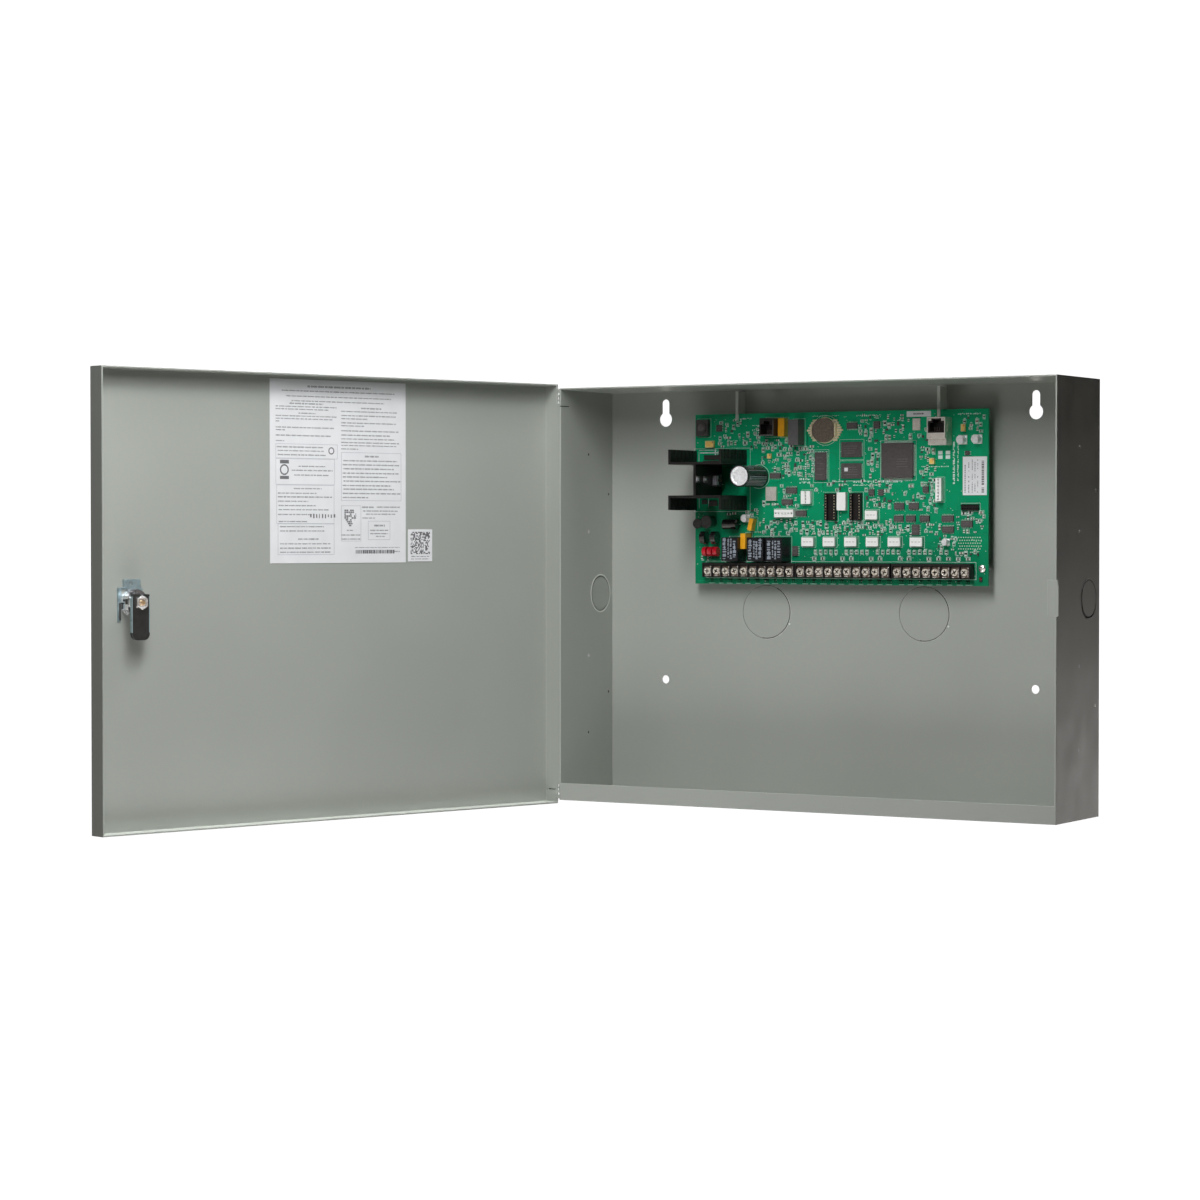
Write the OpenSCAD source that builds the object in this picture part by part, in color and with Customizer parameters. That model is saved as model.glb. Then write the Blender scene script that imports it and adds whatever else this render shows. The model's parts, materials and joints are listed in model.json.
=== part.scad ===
// Wall-mounted control panel: sheet-steel cabinet, hinged door with a cam lock,
// and a main circuit board with screw terminals along its lower edge.
// Origin: centre of the cabinet's back face. +Z up, the front faces -Y.

/* [Cabinet] */
// Outer width of the cabinet
cab_w = 444.5; // [430:0.5:470]
// Outer height of the cabinet
cab_h = 342.9; // [330:0.1:370]
// Outer depth of the cabinet
cab_d = 85.7; // [80:0.1:110]
// Sheet thickness
steel = 1.2; // [1:0.1:2]
// Height of the return lip along the bottom of the front
lip_h = 14.2; // [8:0.1:25]
// Half distance between the left and right wall-fixing holes
fix_x = 168.8; // [150:0.1:180]
// Height of the keyhole heads above the centre
key_z = 147; // [120:0.5:150]
// Height of the lower round holes below the centre
low_z = 72.9; // [50:0.1:120]

/* [Door] */
// Outer width of the door
door_w = 449.7; // [449:0.1:452]
// Outer height of the door
door_h = 350.7; // [348:0.1:354]
// Depth of the flange around the door
flange = 15.3; // [12:0.1:15.6]
// Gap between the cabinet's front edge and the door's outer skin when shut
stand_off = 8.7; // [8:0.1:10]
// How far the door stands open, in degrees
door_open = 107; // [0:1:160]
// Hinge axis, distance outside the cabinet's left side
hinge_out = 3.7; // [3.4:0.1:5]
// Hinge axis, distance behind the cabinet's front edge
hinge_back = 11; // [10.8:0.1:14]
// How far the hinge parts sit inside the door's upper and lower edges
hinge_drop = 9; // [8:0.5:20]

/* [Lock] */
// Lock axis, distance from the door's hinge edge
lock_x = 416.5; // [380:0.5:418]
// Height of the lock axis relative to the centre
lock_z = -1; // [-6:0.5:6]
// Length of the cam from its axis to its tip
cam_len = 28.5; // [26:0.5:28.5]
// Width of the cam
cam_w = 16; // [12:0.5:17]

/* [Circuit board] */
// Board width
board_w = 266.7; // [266.7:0.1:300]
// Board height
board_h = 141.3; // [141.3:0.1:150]
// Height of the board's lower edge above the centre
board_low = 8.7; // [6:0.1:12]
// Space between the back panel and the board
post_h = 10; // [8:0.5:14]
// Distance between terminal screws
pitch = 8.5; // [8:0.1:8.6]
// Height of the heat sink
sink_h = 45; // [20:1:50]

/* [Hidden] */
$fn = 48;
board_t = 1.6;
board_face = steel + post_h + board_t;
half_w = cab_w / 2;
half_h = cab_h / 2;
hinge_x = -half_w - hinge_out;
hinge_y = -cab_d + hinge_back;
skin_y = -cab_d - stand_off;
inner_y = skin_y + steel;
ear_r = 3.8;
pin_r = 1.5;
lock_cx = -door_w / 2 + lock_x;
strike_y = -cab_d + 4;
strike_z = -12.7;
strike_h = 28;
barrel_h = 10.5;
cam_at = barrel_h + 2.7;
wing_h = half_h - steel - hinge_drop - 1.75;
strip_z = 5.8;
strip_h = 8.6;
strip_floor = 6;
strip_wall = 1.2;
can_r = 8.6;
cell_x = 121.7;
cell_y = 126.3;
iso_w = 10.8;
strip_len = [10, 10, 8];
strip_x = [11.2, 98, 185.4];

// Places a child drawn in the board's plane: x right, y up, z towards the viewer.
module on_board(x = 0, y = 0, z = 0) {
  translate([-board_w / 2 + x, -board_face, board_low + y])
    rotate([90, 0, 0])
      translate([0, 0, z]) children();
}

// A box on the board, centred on x and y.
module chip(w, h, t) {
  translate([-w / 2, -h / 2, 0]) cube([w, h, t]);
}

// Turns what is drawn on the shut door to where the door stands open.
module swing() {
  translate([hinge_x, hinge_y, 0])
    rotate([0, 0, -door_open])
      translate([-hinge_x, -hinge_y, 0]) children();
}

// Places a child at the lock's axis, z running inward from the door's inner skin.
module at_lock() {
  swing() translate([lock_cx, inner_y, lock_z]) rotate([-90, 0, 0]) children();
}

// A hole through a panel that is square to Y.
module hole_y(x, z, r) {
  translate([x, 0.5, z]) rotate([90, 0, 0]) cylinder(r = r, h = steel + 1);
}

module keyhole(x, z) {
  hole_y(x, z, 6);
  hole_y(x, z + 13.5, 3.5);
  translate([x - 3.5, -steel - 0.5, z]) cube([7, steel + 1, 13.5]);
}

// A knockout drawn flat: the disc and its two ties, grown by play.
module knockout_flat(r, play = 0) {
  circle(r = r + play, $fn = 72);
  translate([-1.5, -r - 1.4]) square([3, 2 * r + 2.8]);
}

module back_knockout(x, play) {
  translate([x, 0, -14.4]) rotate([90, 0, 0]) rotate([0, 0, 35])
    linear_extrude(height = steel) knockout_flat(22, play);
}

module side_knockout(side, play) {
  translate([side > 0 ? half_w - steel : -half_w, -21.2, 0]) rotate([0, 90, 0])
    linear_extrude(height = steel) knockout_flat(14.8, play);
}

module tie_holes(x) {
  for (p = [[-40.7, 117.3], [-40.7, 52.2], [-40.7, -52.2], [-40.7, -117.3], [-7.7, 84.2], [-7.7, -84.2]])
    translate([x - 1, p[0], p[1]]) rotate([0, 90, 0]) cylinder(r = 1.3, h = steel + 2);
}

module hinge_ear(z) {
  translate([hinge_x, hinge_y, z]) cylinder(r = ear_r, h = steel);
  translate([hinge_x, hinge_y - ear_r, z]) cube([hinge_out + steel / 2, 2 * ear_r, steel]);
}

module cabinet_box() {
  color([0.62, 0.64, 0.61]) difference() {
    union() {
      difference() {
        translate([-half_w, -cab_d, -half_h]) cube([cab_w, cab_d, cab_h]);
        translate([-half_w + steel, -cab_d - 1, -half_h + steel])
          cube([cab_w - 2 * steel, cab_d + 1 - steel, cab_h - 2 * steel]);
      }
      // return lip along the bottom of the front
      translate([-half_w, -cab_d, -half_h]) cube([cab_w, steel, lip_h]);
      // strike flap for the lock, bent inward from the right side
      translate([half_w - 9.2, strike_y, strike_z]) cube([9.2, steel, strike_h]);
      hinge_ear(half_h - steel - hinge_drop);
      hinge_ear(-half_h + hinge_drop);
    }
    // relief notch in front of the strike flap
    translate([half_w - steel - 0.5, -cab_d - 1, strike_z])
      cube([steel + 1, strike_y + cab_d + 1, strike_h]);
    // pressed groove below the upper hinge corner
    translate([-half_w + 0.35, -cab_d - 1, 156]) cube([steel, 15.5, 1]);
    for (s = [-1, 1]) {
      keyhole(s * fix_x, key_z);
      hole_y(s * fix_x, -low_z, 3.5);
      back_knockout(s * 72, 0.4);
      side_knockout(s, 0.4);
    }
    tie_holes(-half_w);
    tie_holes(half_w - steel);
    translate([hinge_x, hinge_y, -half_h - 1]) cylinder(r = pin_r, h = cab_h + 2);
  }
}

module back_knockouts() {
  color([0.6, 0.62, 0.59]) for (s = [-1, 1]) back_knockout(s * 72, 0);
}

module side_knockouts() {
  color([0.6, 0.62, 0.59]) for (s = [-1, 1]) side_knockout(s, 0);
}

// Upper hinge pin: shank, a head above the door's ear and a collar under the cabinet's ear.
module hinge_pin() {
  translate([hinge_x, hinge_y, half_h - steel - 1.3 - hinge_drop]) {
    cylinder(r = 3.3, h = 1.3);
    cylinder(r = pin_r, h = door_h / 2 - half_h + steel + 2.6);
    translate([0, 0, door_h / 2 - half_h + steel + 1.6]) cylinder(r = 2.8, h = 1);
  }
}

module hinge_pins() {
  color([0.75, 0.76, 0.78]) {
    hinge_pin();
    mirror([0, 0, 1]) hinge_pin();
  }
}

module hinge_spacer() {
  translate([hinge_x, hinge_y, half_h - hinge_drop]) difference() {
    cylinder(r = 3.3, h = door_h / 2 - half_h - steel - 0.3);
    translate([0, 0, -1]) cylinder(r = pin_r, h = 8);
  }
}

module hinge_spacers() {
  color([0.75, 0.76, 0.78]) {
    hinge_spacer();
    mirror([0, 0, 1]) hinge_spacer();
  }
}

// Bracket that hooks over the board's top edge.
module board_hanger(x) {
  translate([x - 1.2, -board_face - 1.2, board_low + board_h + 0.6])
    cube([1.2, board_face + 1.2 - steel, 18]);
  translate([x - 2.6, -board_face - 1.2, board_low + board_h - 5.6]) cube([2.6, 1.2, 24.2]);
}

module board_hangers() {
  color([0.6, 0.62, 0.59]) {
    board_hanger(-92);
    board_hanger(91.6);
  }
}

module board_posts() {
  color([0.8, 0.8, 0.78]) for (x = [5, 261.7])
    on_board(x, 14, -board_t - post_h) difference() {
      cylinder(r = 3.2, h = post_h, $fn = 6);
      if (x > 100) translate([0, 0, 4]) cylinder(r = 1.5, h = 8);
    }
}

module board_screw() {
  color([0.85, 0.85, 0.83]) on_board(261.7, 14) {
    translate([0, 0, -board_t - 5]) cylinder(r = 1.5, h = board_t + 5.5);
    difference() {
      intersection() {
        cylinder(r = 3, h = 2.2);
        translate([0, 0, -2.4]) sphere(r = 4.6);
      }
      for (a = [0, 90]) rotate([0, 0, a]) translate([-2, -0.4, 1.2]) cube([4, 0.8, 2]);
    }
  }
}

module circuit_board() {
  color([0.02, 0.42, 0.27]) on_board(0, 0, -board_t) difference() {
    cube([board_w, board_h, board_t]);
    translate([261.7, 14, -1]) cylinder(r = 1.5, h = 4);
  }
}

// One strip: a base with a rear wall and a barrier beside every screw.
module terminal_block(n) {
  run = n * pitch + strip_wall;
  cube([run, 12, strip_floor]);
  translate([0, 9.8, 0]) cube([run, 2.2, strip_h]);
  for (i = [0:n]) translate([i * pitch, 0, 0]) cube([strip_wall, 12, strip_h]);
}

module terminal_blocks() {
  color([0.06, 0.06, 0.06]) for (k = [0:2]) on_board(strip_x[k], strip_z) terminal_block(strip_len[k]);
}

// Repeats a child at every terminal of the three strips.
module at_terminals() {
  for (k = [0:2]) for (i = [0:strip_len[k] - 1])
    on_board(strip_x[k] + strip_wall / 2 + (i + 0.5) * pitch, strip_z + 5, strip_floor) children();
}

module terminal_clamps() {
  color([0.72, 0.7, 0.66]) at_terminals() difference() {
    union() {
      translate([-3.5, -4.3, 0]) cube([7, 8.6, 0.8]);
      // upturned edge that keeps the wire under the plate
      translate([2.5, -4.3, 0]) cube([1, 8.6, 2]);
    }
    translate([-0.4, 0, -1]) cylinder(r = 1.6, h = 3, $fn = 24);
  }
}

module terminal_screws() {
  color([0.8, 0.76, 0.72]) at_terminals() translate([-0.4, 0, 0]) difference() {
    union() {
      translate([0, 0, 0.1]) cylinder(r = 1.5, h = 1, $fn = 24);
      translate([0, 0, 0.8]) cylinder(r = 2.8, h = 1.7, $fn = 24);
    }
    rotate([0, 0, 40]) translate([-3.5, -0.45, 1.8]) cube([7, 0.9, 2]);
    rotate([0, 0, 130]) translate([-1.8, -0.4, 1.8]) cube([3.6, 0.8, 2]);
  }
}

// Heat sink profile: a web in the middle, two cross plates and four wings.
module sink_flat() {
  t = 2;
  translate([23.2, 71.3]) square([t, 29.5]);
  for (y = [71.3, 98.8]) translate([-0.6, y]) square([49.5, t]);
  for (x = [-0.6, 46.9]) {
    translate([x, 61.3]) square([t, 12]);
    translate([x, 98.8]) square([t, 12.4]);
  }
}

module heat_sink() {
  color([0.05, 0.05, 0.05]) on_board(0, 0) difference() {
    linear_extrude(height = sink_h) sink_flat();
    // slots between the fins of the four wings
    for (i = [1:6]) for (y = [60, 103.2]) translate([-2, y, i * 6.2 + 0.6]) cube([54, 9.6, 1.2]);
  }
}

module power_transistors() {
  color([0.12, 0.12, 0.12]) on_board(25.2, 0) {
    translate([0, 81, 7.5]) cube([4.4, 10, 9]);
    translate([0, 84, 27]) cube([1.6, 5, 5]);
    translate([0, 84, 40]) cube([1.6, 5, 4.6]);
  }
}

module capacitor_can() {
  color([0.85, 0.86, 0.88]) on_board(60.2, 89) cylinder(r = can_r, h = 34);
}

module capacitor_sleeve() {
  color([0.05, 0.06, 0.06]) on_board(60.2, 89) difference() {
    cylinder(r = can_r + 0.3, h = 34.6);
    translate([0, 0, -1]) cylinder(r = can_r, h = 35);
    translate([0, 0, 33]) cylinder(r = can_r - 0.7, h = 5);
  }
}

module output_relays() {
  color([0.06, 0.06, 0.07]) for (x = [33.3, 57.3, 74.8])
    on_board(x, 19.2) cube([15.2, 19.6, 15.5]);
}

module line_relay() {
  color([0.42, 0.43, 0.44]) on_board(93, 114.4) cube([9.2, 20.9, 11]);
}

module phone_jack() {
  color([0.07, 0.07, 0.08]) on_board(67.4, 122.2) difference() {
    cube([13.2, 14.6, 13]);
    translate([1.2, 1.6, 3]) cube([10.8, 8, 11]);
    translate([4, 9, 3]) cube([5.2, 3.4, 11]);
  }
}

module network_jack_shell() {
  color([0.75, 0.75, 0.73]) on_board(218.8, 112.6) difference() {
    cube([16, 22.2, 13]);
    translate([0.8, 9.6, -1]) cube([14.4, 11.6, 15]);
    translate([-1, -1, 10.5]) cube([18, 6, 4]);
  }
}

module network_jack_insert() {
  color([0.05, 0.05, 0.05]) on_board(219.6, 122.2) difference() {
    cube([14.4, 11.6, 12.2]);
    translate([1.2, 1.2, 3]) cube([12, 7, 11]);
    translate([4, 8, 3]) cube([6.4, 2.8, 11]);
  }
}

module coin_cell() {
  color([0.3, 0.27, 0.24]) on_board(cell_x, cell_y, 1.4) cylinder(r = 10, h = 3.2, $fn = 64);
}

module cell_holder() {
  color([0.85, 0.75, 0.5]) on_board(cell_x, cell_y) {
    difference() {
      cylinder(r = 10.6, h = 1.4, $fn = 64);
      translate([0, 0, 0.7]) cylinder(r = 8.5, h = 2);
    }
    // comb of spring fingers on each side, longest in the middle
    for (s = [-1, 1]) for (k = [-4:4]) {
      reach = 8.8 - 1.3 * abs(k);
      translate([s > 0 ? 7.5 : -7.5 - reach, k * 2 - 0.8, 0]) cube([reach, 1.6, 1.4]);
    }
    for (s = [-1, 1]) translate([s > 0 ? 10.2 : -11.2, -5, 0]) cube([1, 10, 4.8]);
  }
}

module processor() {
  color([0.2, 0.19, 0.19]) on_board(187.6, 100.9, 0.4) chip(27.8, 28, 2.4);
}

module processor_leads() {
  color([0.7, 0.7, 0.66]) on_board(187.6, 100.9) difference() {
    union() {
      chip(31.2, 26, 0.4);
      chip(26, 31.4, 0.4);
    }
    translate([0, 0, -1]) chip(22, 22, 3);
  }
}

// Thin flat memory packages: centre x, centre y, width, height.
memory_spots = [[145.8, 110.2, 18, 12.4], [145.8, 92.9, 18, 12.4], [117.8, 97, 10.2, 22.8]];

module memory_chips() {
  color([0.22, 0.21, 0.21]) for (m = memory_spots)
    on_board(m[0], m[1], 0.3) chip(m[2], m[3], 1.3);
}

module memory_leads() {
  color([0.7, 0.7, 0.66]) for (m = memory_spots)
    on_board(m[0], m[1]) chip(m[2] + 1.8, m[3] - 0.8, 0.3);
}

// Small surface-mounted packages: centre x, centre y, width, height.
small_spots = [[188.8, 64, 8.8, 5], [201.8, 64, 8.6, 5], [188.4, 54, 8.4, 4.6], [199.1, 54, 8.4, 4.6],
               [211.4, 54, 8.6, 4.6], [231.7, 54, 10.4, 4.6], [232, 45.2, 10.2, 4.8],
               [248.4, 49.7, 9.8, 5], [146.3, 129.5, 9.4, 4.8], [91, 77.5, 10, 4.6],
               [87, 68, 10, 4], [76, 89.7, 10, 4], [100, 58.6, 9.6, 4.4], [94.4, 27.6, 5, 8],
               [203.5, 45, 6.4, 8.4], [212.3, 77.3, 5, 5], [164, 75.3, 5, 5], [172.5, 75.2, 4.6, 5],
               [248.7, 106, 3.4, 3.6], [23, 129.6, 5, 5.4], [168.6, 129.8, 5.4, 6]];

module small_chips() {
  color([0.2, 0.19, 0.19]) for (m = small_spots) on_board(m[0], m[1]) chip(m[2], m[3], 1.5);
}

// A pair of contact rows for one plug-in chip.
module chip_socket() {
  for (x = [0, 7.6]) translate([x, 0, 0]) difference() {
    cube([2.5, 22, 4]);
    for (i = [0:8]) translate([0.75, 1.1 + i * 2.3, 3]) cube([1, 1.2, 2]);
  }
  translate([2.5, 0, 0]) cube([5.1, 22, 1.6]);
}

module chip_sockets() {
  color([0.08, 0.08, 0.08]) for (x = [122.6, 145.4]) on_board(x, 52.8) chip_socket();
}

module setup_card() {
  color([0.93, 0.93, 0.92]) on_board(134, 60.8) cube([8, 14.6, 4]);
}

// White isolator package on two rows of short legs.
module isolator() {
  translate([0, 0, 0.6]) cube([iso_w, 7.2, 2.8]);
  for (i = [0:2]) for (y = [0.2, 6.2])
    translate([1.2 + i * 3.7, y, 0]) cube([0.8, 0.8, 0.6]);
}

module zone_isolators() {
  color([0.93, 0.93, 0.91]) {
    for (i = [0:5]) on_board(101.4 + i * 19.58, 31.5) isolator();
    on_board(159.2, 53.3) isolator();
  }
}

// A white header with a row of contact openings.
module white_header(w, h, t, n, up = false) {
  difference() {
    cube([w, h, t]);
    for (i = [0:n - 1])
      translate(up ? [w / 2 - 0.7, (i + 0.5) * h / n - 0.7, t - 2.5] : [(i + 0.5) * w / n - 0.7, h / 2 - 0.7, t - 2.5])
        cube([1.4, 1.4, 3]);
  }
}

module white_headers() {
  color([0.92, 0.92, 0.9]) {
    on_board(101, 66.2) white_header(8.6, 10.6, 3.6, 4, true);
    on_board(77, 55.3) white_header(17.6, 6.4, 5, 6);
    on_board(222.6, 67.7) white_header(5.2, 18.6, 5, 7, true);
  }
}

module black_header() {
  color([0.06, 0.06, 0.06]) on_board(244, 60.4) {
    cube([14.8, 4.8, 2.5]);
    for (i = [0:5]) for (y = [0.9, 3.3]) translate([0.8 + i * 2.5, y, 2.5]) cube([0.6, 0.6, 3]);
  }
}

module film_capacitors() {
  color([0.93, 0.6, 0.08]) {
    on_board(81.2, 121.8) cube([6, 14.9, 6.6]);
    on_board(48.7, 29.2) cube([4.6, 12.8, 11]);
    on_board(55.4, 49.4) rotate([0, 0, -12]) translate([-1.9, -5, 0]) cube([3.8, 10, 6.4]);
  }
}

module tantalum_capacitors() {
  color([0.9, 0.65, 0.25]) {
    on_board(14.6, 116.4) chip(8, 5.6, 2.6);
    on_board(70.5, 105.8) chip(3.4, 4, 2);
    on_board(218, 100) chip(4.4, 4.8, 2);
    on_board(245.2, 126.2) chip(3.4, 6, 2);
  }
}

module red_suppressors() {
  color([0.75, 0.05, 0.12]) for (i = [0:2])
    on_board(10.2 + i * 5.1, 27, 4.1) rotate([0, 90, 0]) cylinder(r = 3.9, h = 3.6);
}

module power_inductor() {
  color([0.25, 0.24, 0.24]) on_board(8.4, 130.1) {
    chip(11, 13.6, 4.6);
    translate([0, 0, 4.6]) cylinder(r = 4.6, h = 1.4);
  }
}

module filter_capacitors() {
  color([0.13, 0.13, 0.14]) {
    on_board(5.6, 50.2) cylinder(r = 4.1, h = 7);
    on_board(15.4, 51.6) cylinder(r = 5.2, h = 9.6);
  }
}

module disc_suppressors() {
  color([0.18, 0.18, 0.18]) for (x = [9.2, 19.4])
    on_board(x, 38.5, 5.6) rotate([0, 90, 0]) cylinder(r = 5.3, h = 4.6);
}

module axial_choke() {
  color([0.14, 0.12, 0.12]) on_board(29.8, 49.6, 4.6) rotate([0, 90, 0]) {
    cylinder(r = 4.4, h = 12.6);
    translate([0, 0, -1.5]) cylinder(r = 0.5, h = 15.6);
  }
}

// Small aluminium can capacitor on a square foot.
module small_can(r, h) {
  chip(2 * r + 0.4, 2 * r + 0.4, 1);
  cylinder(r = r, h = h);
}

module small_cans() {
  color([0.78, 0.78, 0.8]) {
    on_board(244.6, 116.7) small_can(3.5, 6);
    on_board(257.6, 117) small_can(3.5, 6);
    on_board(230.6, 35) small_can(2.6, 5);
    on_board(48.6, 54.6) small_can(3, 5);
  }
}

module shield_cans() {
  color([0.6, 0.62, 0.6]) {
    on_board(204, 129.7) chip(6.6, 9.4, 1.2);
    on_board(72.6, 74.7) chip(9.8, 11.4, 2.4);
  }
}

module board_labels() {
  color([0.9, 0.9, 0.92]) {
    on_board(195, 135.8) cube([21.4, 4.6, 0.2]);
    on_board(244.6, 72.4) cube([20.8, 30.8, 0.5]);
  }
}

// Pressed door: a skin with a flange all round and an ear for each hinge pin.
module door_shell() {
  x0 = -door_w / 2;
  z0 = -door_h / 2;
  difference() {
    union() {
      difference() {
        translate([x0, skin_y, z0]) cube([door_w, flange, door_h]);
        translate([x0 + steel, inner_y, z0 + steel])
          cube([door_w - 2 * steel, flange, door_h - 2 * steel]);
      }
      for (z = [z0 + hinge_drop, -z0 - steel - hinge_drop]) {
        translate([hinge_x, hinge_y, z]) cylinder(r = hinge_out - 0.4, h = steel);
        translate([hinge_x - hinge_out + 0.4, skin_y + flange - 4, z])
          cube([x0 + steel - hinge_x + hinge_out - 0.4, hinge_y - skin_y - flange + 4, steel]);
      }
      // the hinge-side flange is deeper between the hinge ears
      translate([x0, skin_y + flange - 1, -wing_h])
        cube([steel, hinge_y - 0.9 - skin_y - flange + 1, 2 * wing_h]);
    }
    // hinge pin holes, with running clearance
    translate([hinge_x, hinge_y, z0 - 1]) cylinder(r = pin_r + 0.06, h = door_h + 2);
    // pressed groove at the foot of the hinge-side flange
    translate([x0 + 0.35, skin_y + 4.7, z0 + 11]) cube([steel, 7.9, 1.2]);
    // hole for the lock
    translate([lock_cx, skin_y - 1, lock_z]) rotate([-90, 0, 0]) lock_outline(steel + 2);
  }
}

module door_panel() {
  color([0.66, 0.69, 0.66]) swing() door_shell();
}

module instruction_label() {
  color([0.86, 0.87, 0.88]) swing()
    translate([-73.3, inner_y, 27.2]) cube([134.8, 0.3, 144.4]);
}

module code_label() {
  color([0.85, 0.86, 0.87]) swing() translate([-100.8, inner_y, 28]) cube([25, 0.3, 26]);
}

// Barrel outline: round with two flats.
module lock_outline(h) {
  intersection() {
    cylinder(r = 9.5, h = h);
    translate([-8, -10, 0]) cube([16, 20, h]);
  }
}

module lock_housing() {
  color([0.82, 0.83, 0.85]) at_lock() difference() {
    union() {
      translate([0, 0, -steel - 2]) cylinder(r = 11.5, h = 2);
      translate([0, 0, -steel]) lock_outline(barrel_h + steel);
    }
    translate([0, 0, -steel - 3]) cylinder(r = 6.3, h = 20);
    translate([0, 0, -steel - 3]) cylinder(r = 7.6, h = 2.5);
  }
}

// Spring clip: a forked plate that straddles the barrel's flats, with a pull tab.
module lock_clip() {
  color([0.55, 0.62, 0.68]) at_lock() difference() {
    union() {
      translate([-11, -11, 0]) cube([22, 25.5, 1]);
      translate([-9.5, -17.2, 0]) cube([15.5, 7.2, 1]);
    }
    translate([-8, -9.6, -1]) cube([16, 30, 3]);
    translate([-1.1, -13.8, -1]) cylinder(r = 1.2, h = 3, $fn = 24);
  }
}

module lock_plug() {
  color([0.85, 0.86, 0.88]) at_lock() difference() {
    union() {
      translate([0, 0, -steel - 2]) cylinder(r = 7.5, h = 1.4);
      translate([0, 0, -steel - 0.7]) cylinder(r = 6.25, h = steel + barrel_h + 1);
      translate([0, 0, barrel_h + 0.3]) cylinder(r = 7.8, h = 2.4);
      translate([-3.9, -3.9, cam_at - 0.1]) cube([7.8, 7.8, 2.3]);
    }
    translate([-4, -0.6, -steel - 3]) cube([8, 1.2, 6]);
    translate([0, 0, cam_at - 5.9]) cylinder(r = 2, h = 10);
  }
}

// Outline of the cam: nearly square above its axis, with a rounded foot.
module cam_flat() {
  offset(r = 1.4) translate([1.4 - cam_w / 2, -4.8]) square([cam_w - 2.8, 16]);
  offset(r = 5) translate([5 - cam_w / 2, 5]) square([cam_w - 10, cam_len - 10]);
}

module lock_cam() {
  color([0.15, 0.15, 0.14]) at_lock() translate([0, 0, cam_at]) difference() {
    linear_extrude(height = 2.2) cam_flat();
    translate([-3.9, -3.9, -1]) cube([7.8, 7.8, 4]);
  }
}

// Hexagon nut and the end of the stud it sits on.
module cam_screw() {
  color([0.82, 0.8, 0.78]) at_lock() translate([0, 0, cam_at]) difference() {
    union() {
      translate([0, 0, -5.4]) cylinder(r = 2, h = 8);
      translate([0, 0, 2.2]) rotate([0, 0, 30]) cylinder(r = 5.5, h = 2.4, $fn = 6);
      translate([0, 0, 4.5]) cylinder(r = 2.4, h = 0.9);
    }
    translate([-3, -0.4, 4.9]) cube([6, 0.8, 1]);
  }
}

cabinet_box();
back_knockouts();
side_knockouts();
hinge_pins();
hinge_spacers();
board_hangers();
board_posts();
board_screw();
circuit_board();
terminal_blocks();
terminal_clamps();
terminal_screws();
heat_sink();
power_transistors();
capacitor_can();
capacitor_sleeve();
output_relays();
line_relay();
phone_jack();
network_jack_shell();
network_jack_insert();
coin_cell();
cell_holder();
processor();
processor_leads();
memory_chips();
memory_leads();
small_chips();
chip_sockets();
setup_card();
zone_isolators();
white_headers();
black_header();
film_capacitors();
tantalum_capacitors();
red_suppressors();
power_inductor();
filter_capacitors();
disc_suppressors();
axial_choke();
small_cans();
shield_cans();
board_labels();
door_panel();
instruction_label();
code_label();
lock_housing();
lock_clip();
lock_plug();
lock_cam();
cam_screw();
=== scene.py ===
"""Looks of the wall-mounted control panel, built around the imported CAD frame."""
import json
import random
from collections import namedtuple
from math import acos, cos, hypot, pi, radians, sin

import bmesh
import bpy
import numpy as np
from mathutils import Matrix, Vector

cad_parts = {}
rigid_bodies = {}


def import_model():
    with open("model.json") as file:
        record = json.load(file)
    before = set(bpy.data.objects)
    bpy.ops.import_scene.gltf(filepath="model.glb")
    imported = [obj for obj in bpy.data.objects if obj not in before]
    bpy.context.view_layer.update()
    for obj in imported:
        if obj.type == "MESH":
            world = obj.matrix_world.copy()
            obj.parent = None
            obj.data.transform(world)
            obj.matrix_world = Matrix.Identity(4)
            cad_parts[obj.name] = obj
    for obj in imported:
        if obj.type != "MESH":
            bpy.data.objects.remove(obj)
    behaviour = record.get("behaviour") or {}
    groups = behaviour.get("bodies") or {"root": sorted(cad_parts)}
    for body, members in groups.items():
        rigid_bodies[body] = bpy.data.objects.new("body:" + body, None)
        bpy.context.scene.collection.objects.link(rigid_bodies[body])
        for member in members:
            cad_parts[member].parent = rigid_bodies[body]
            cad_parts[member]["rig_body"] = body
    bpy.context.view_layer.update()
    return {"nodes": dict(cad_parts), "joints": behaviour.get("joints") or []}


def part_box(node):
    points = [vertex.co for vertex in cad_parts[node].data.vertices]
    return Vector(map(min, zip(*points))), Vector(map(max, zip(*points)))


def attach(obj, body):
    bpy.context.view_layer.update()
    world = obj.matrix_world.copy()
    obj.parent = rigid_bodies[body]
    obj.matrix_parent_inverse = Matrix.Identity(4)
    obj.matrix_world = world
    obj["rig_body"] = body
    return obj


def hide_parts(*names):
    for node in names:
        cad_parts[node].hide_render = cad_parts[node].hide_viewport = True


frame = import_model()
NODES = frame["nodes"]
JOINTS = {joint["name"]: joint for joint in frame["joints"]}
MM = 0.001
dice = random.Random(41)
uniform, choice, chance = dice.uniform, dice.choice, dice.random

# ---------------- camera

CAMERA_PLACE = (1.166384, -2.329169, 0.049864)
CAMERA_YAW = 31.022
CAMERA_PITCH = -1.185
CAMERA_LENS = 95.062


def in_scene(name, data):
    """A new object in the scene, with this mesh, light or camera."""
    made = bpy.data.objects.new(name, data)
    bpy.context.scene.collection.objects.link(made)
    return made


camera_data = bpy.data.cameras.new("camera")
camera_data.lens = CAMERA_LENS
camera_data.sensor_width = 36
camera_data.clip_end = 60
camera = in_scene("camera", camera_data)
camera.location = CAMERA_PLACE
camera.rotation_euler = (radians(90 + CAMERA_PITCH), 0, radians(CAMERA_YAW))
bpy.context.scene.camera = camera
bpy.context.scene.view_settings.view_transform = "Standard"

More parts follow.
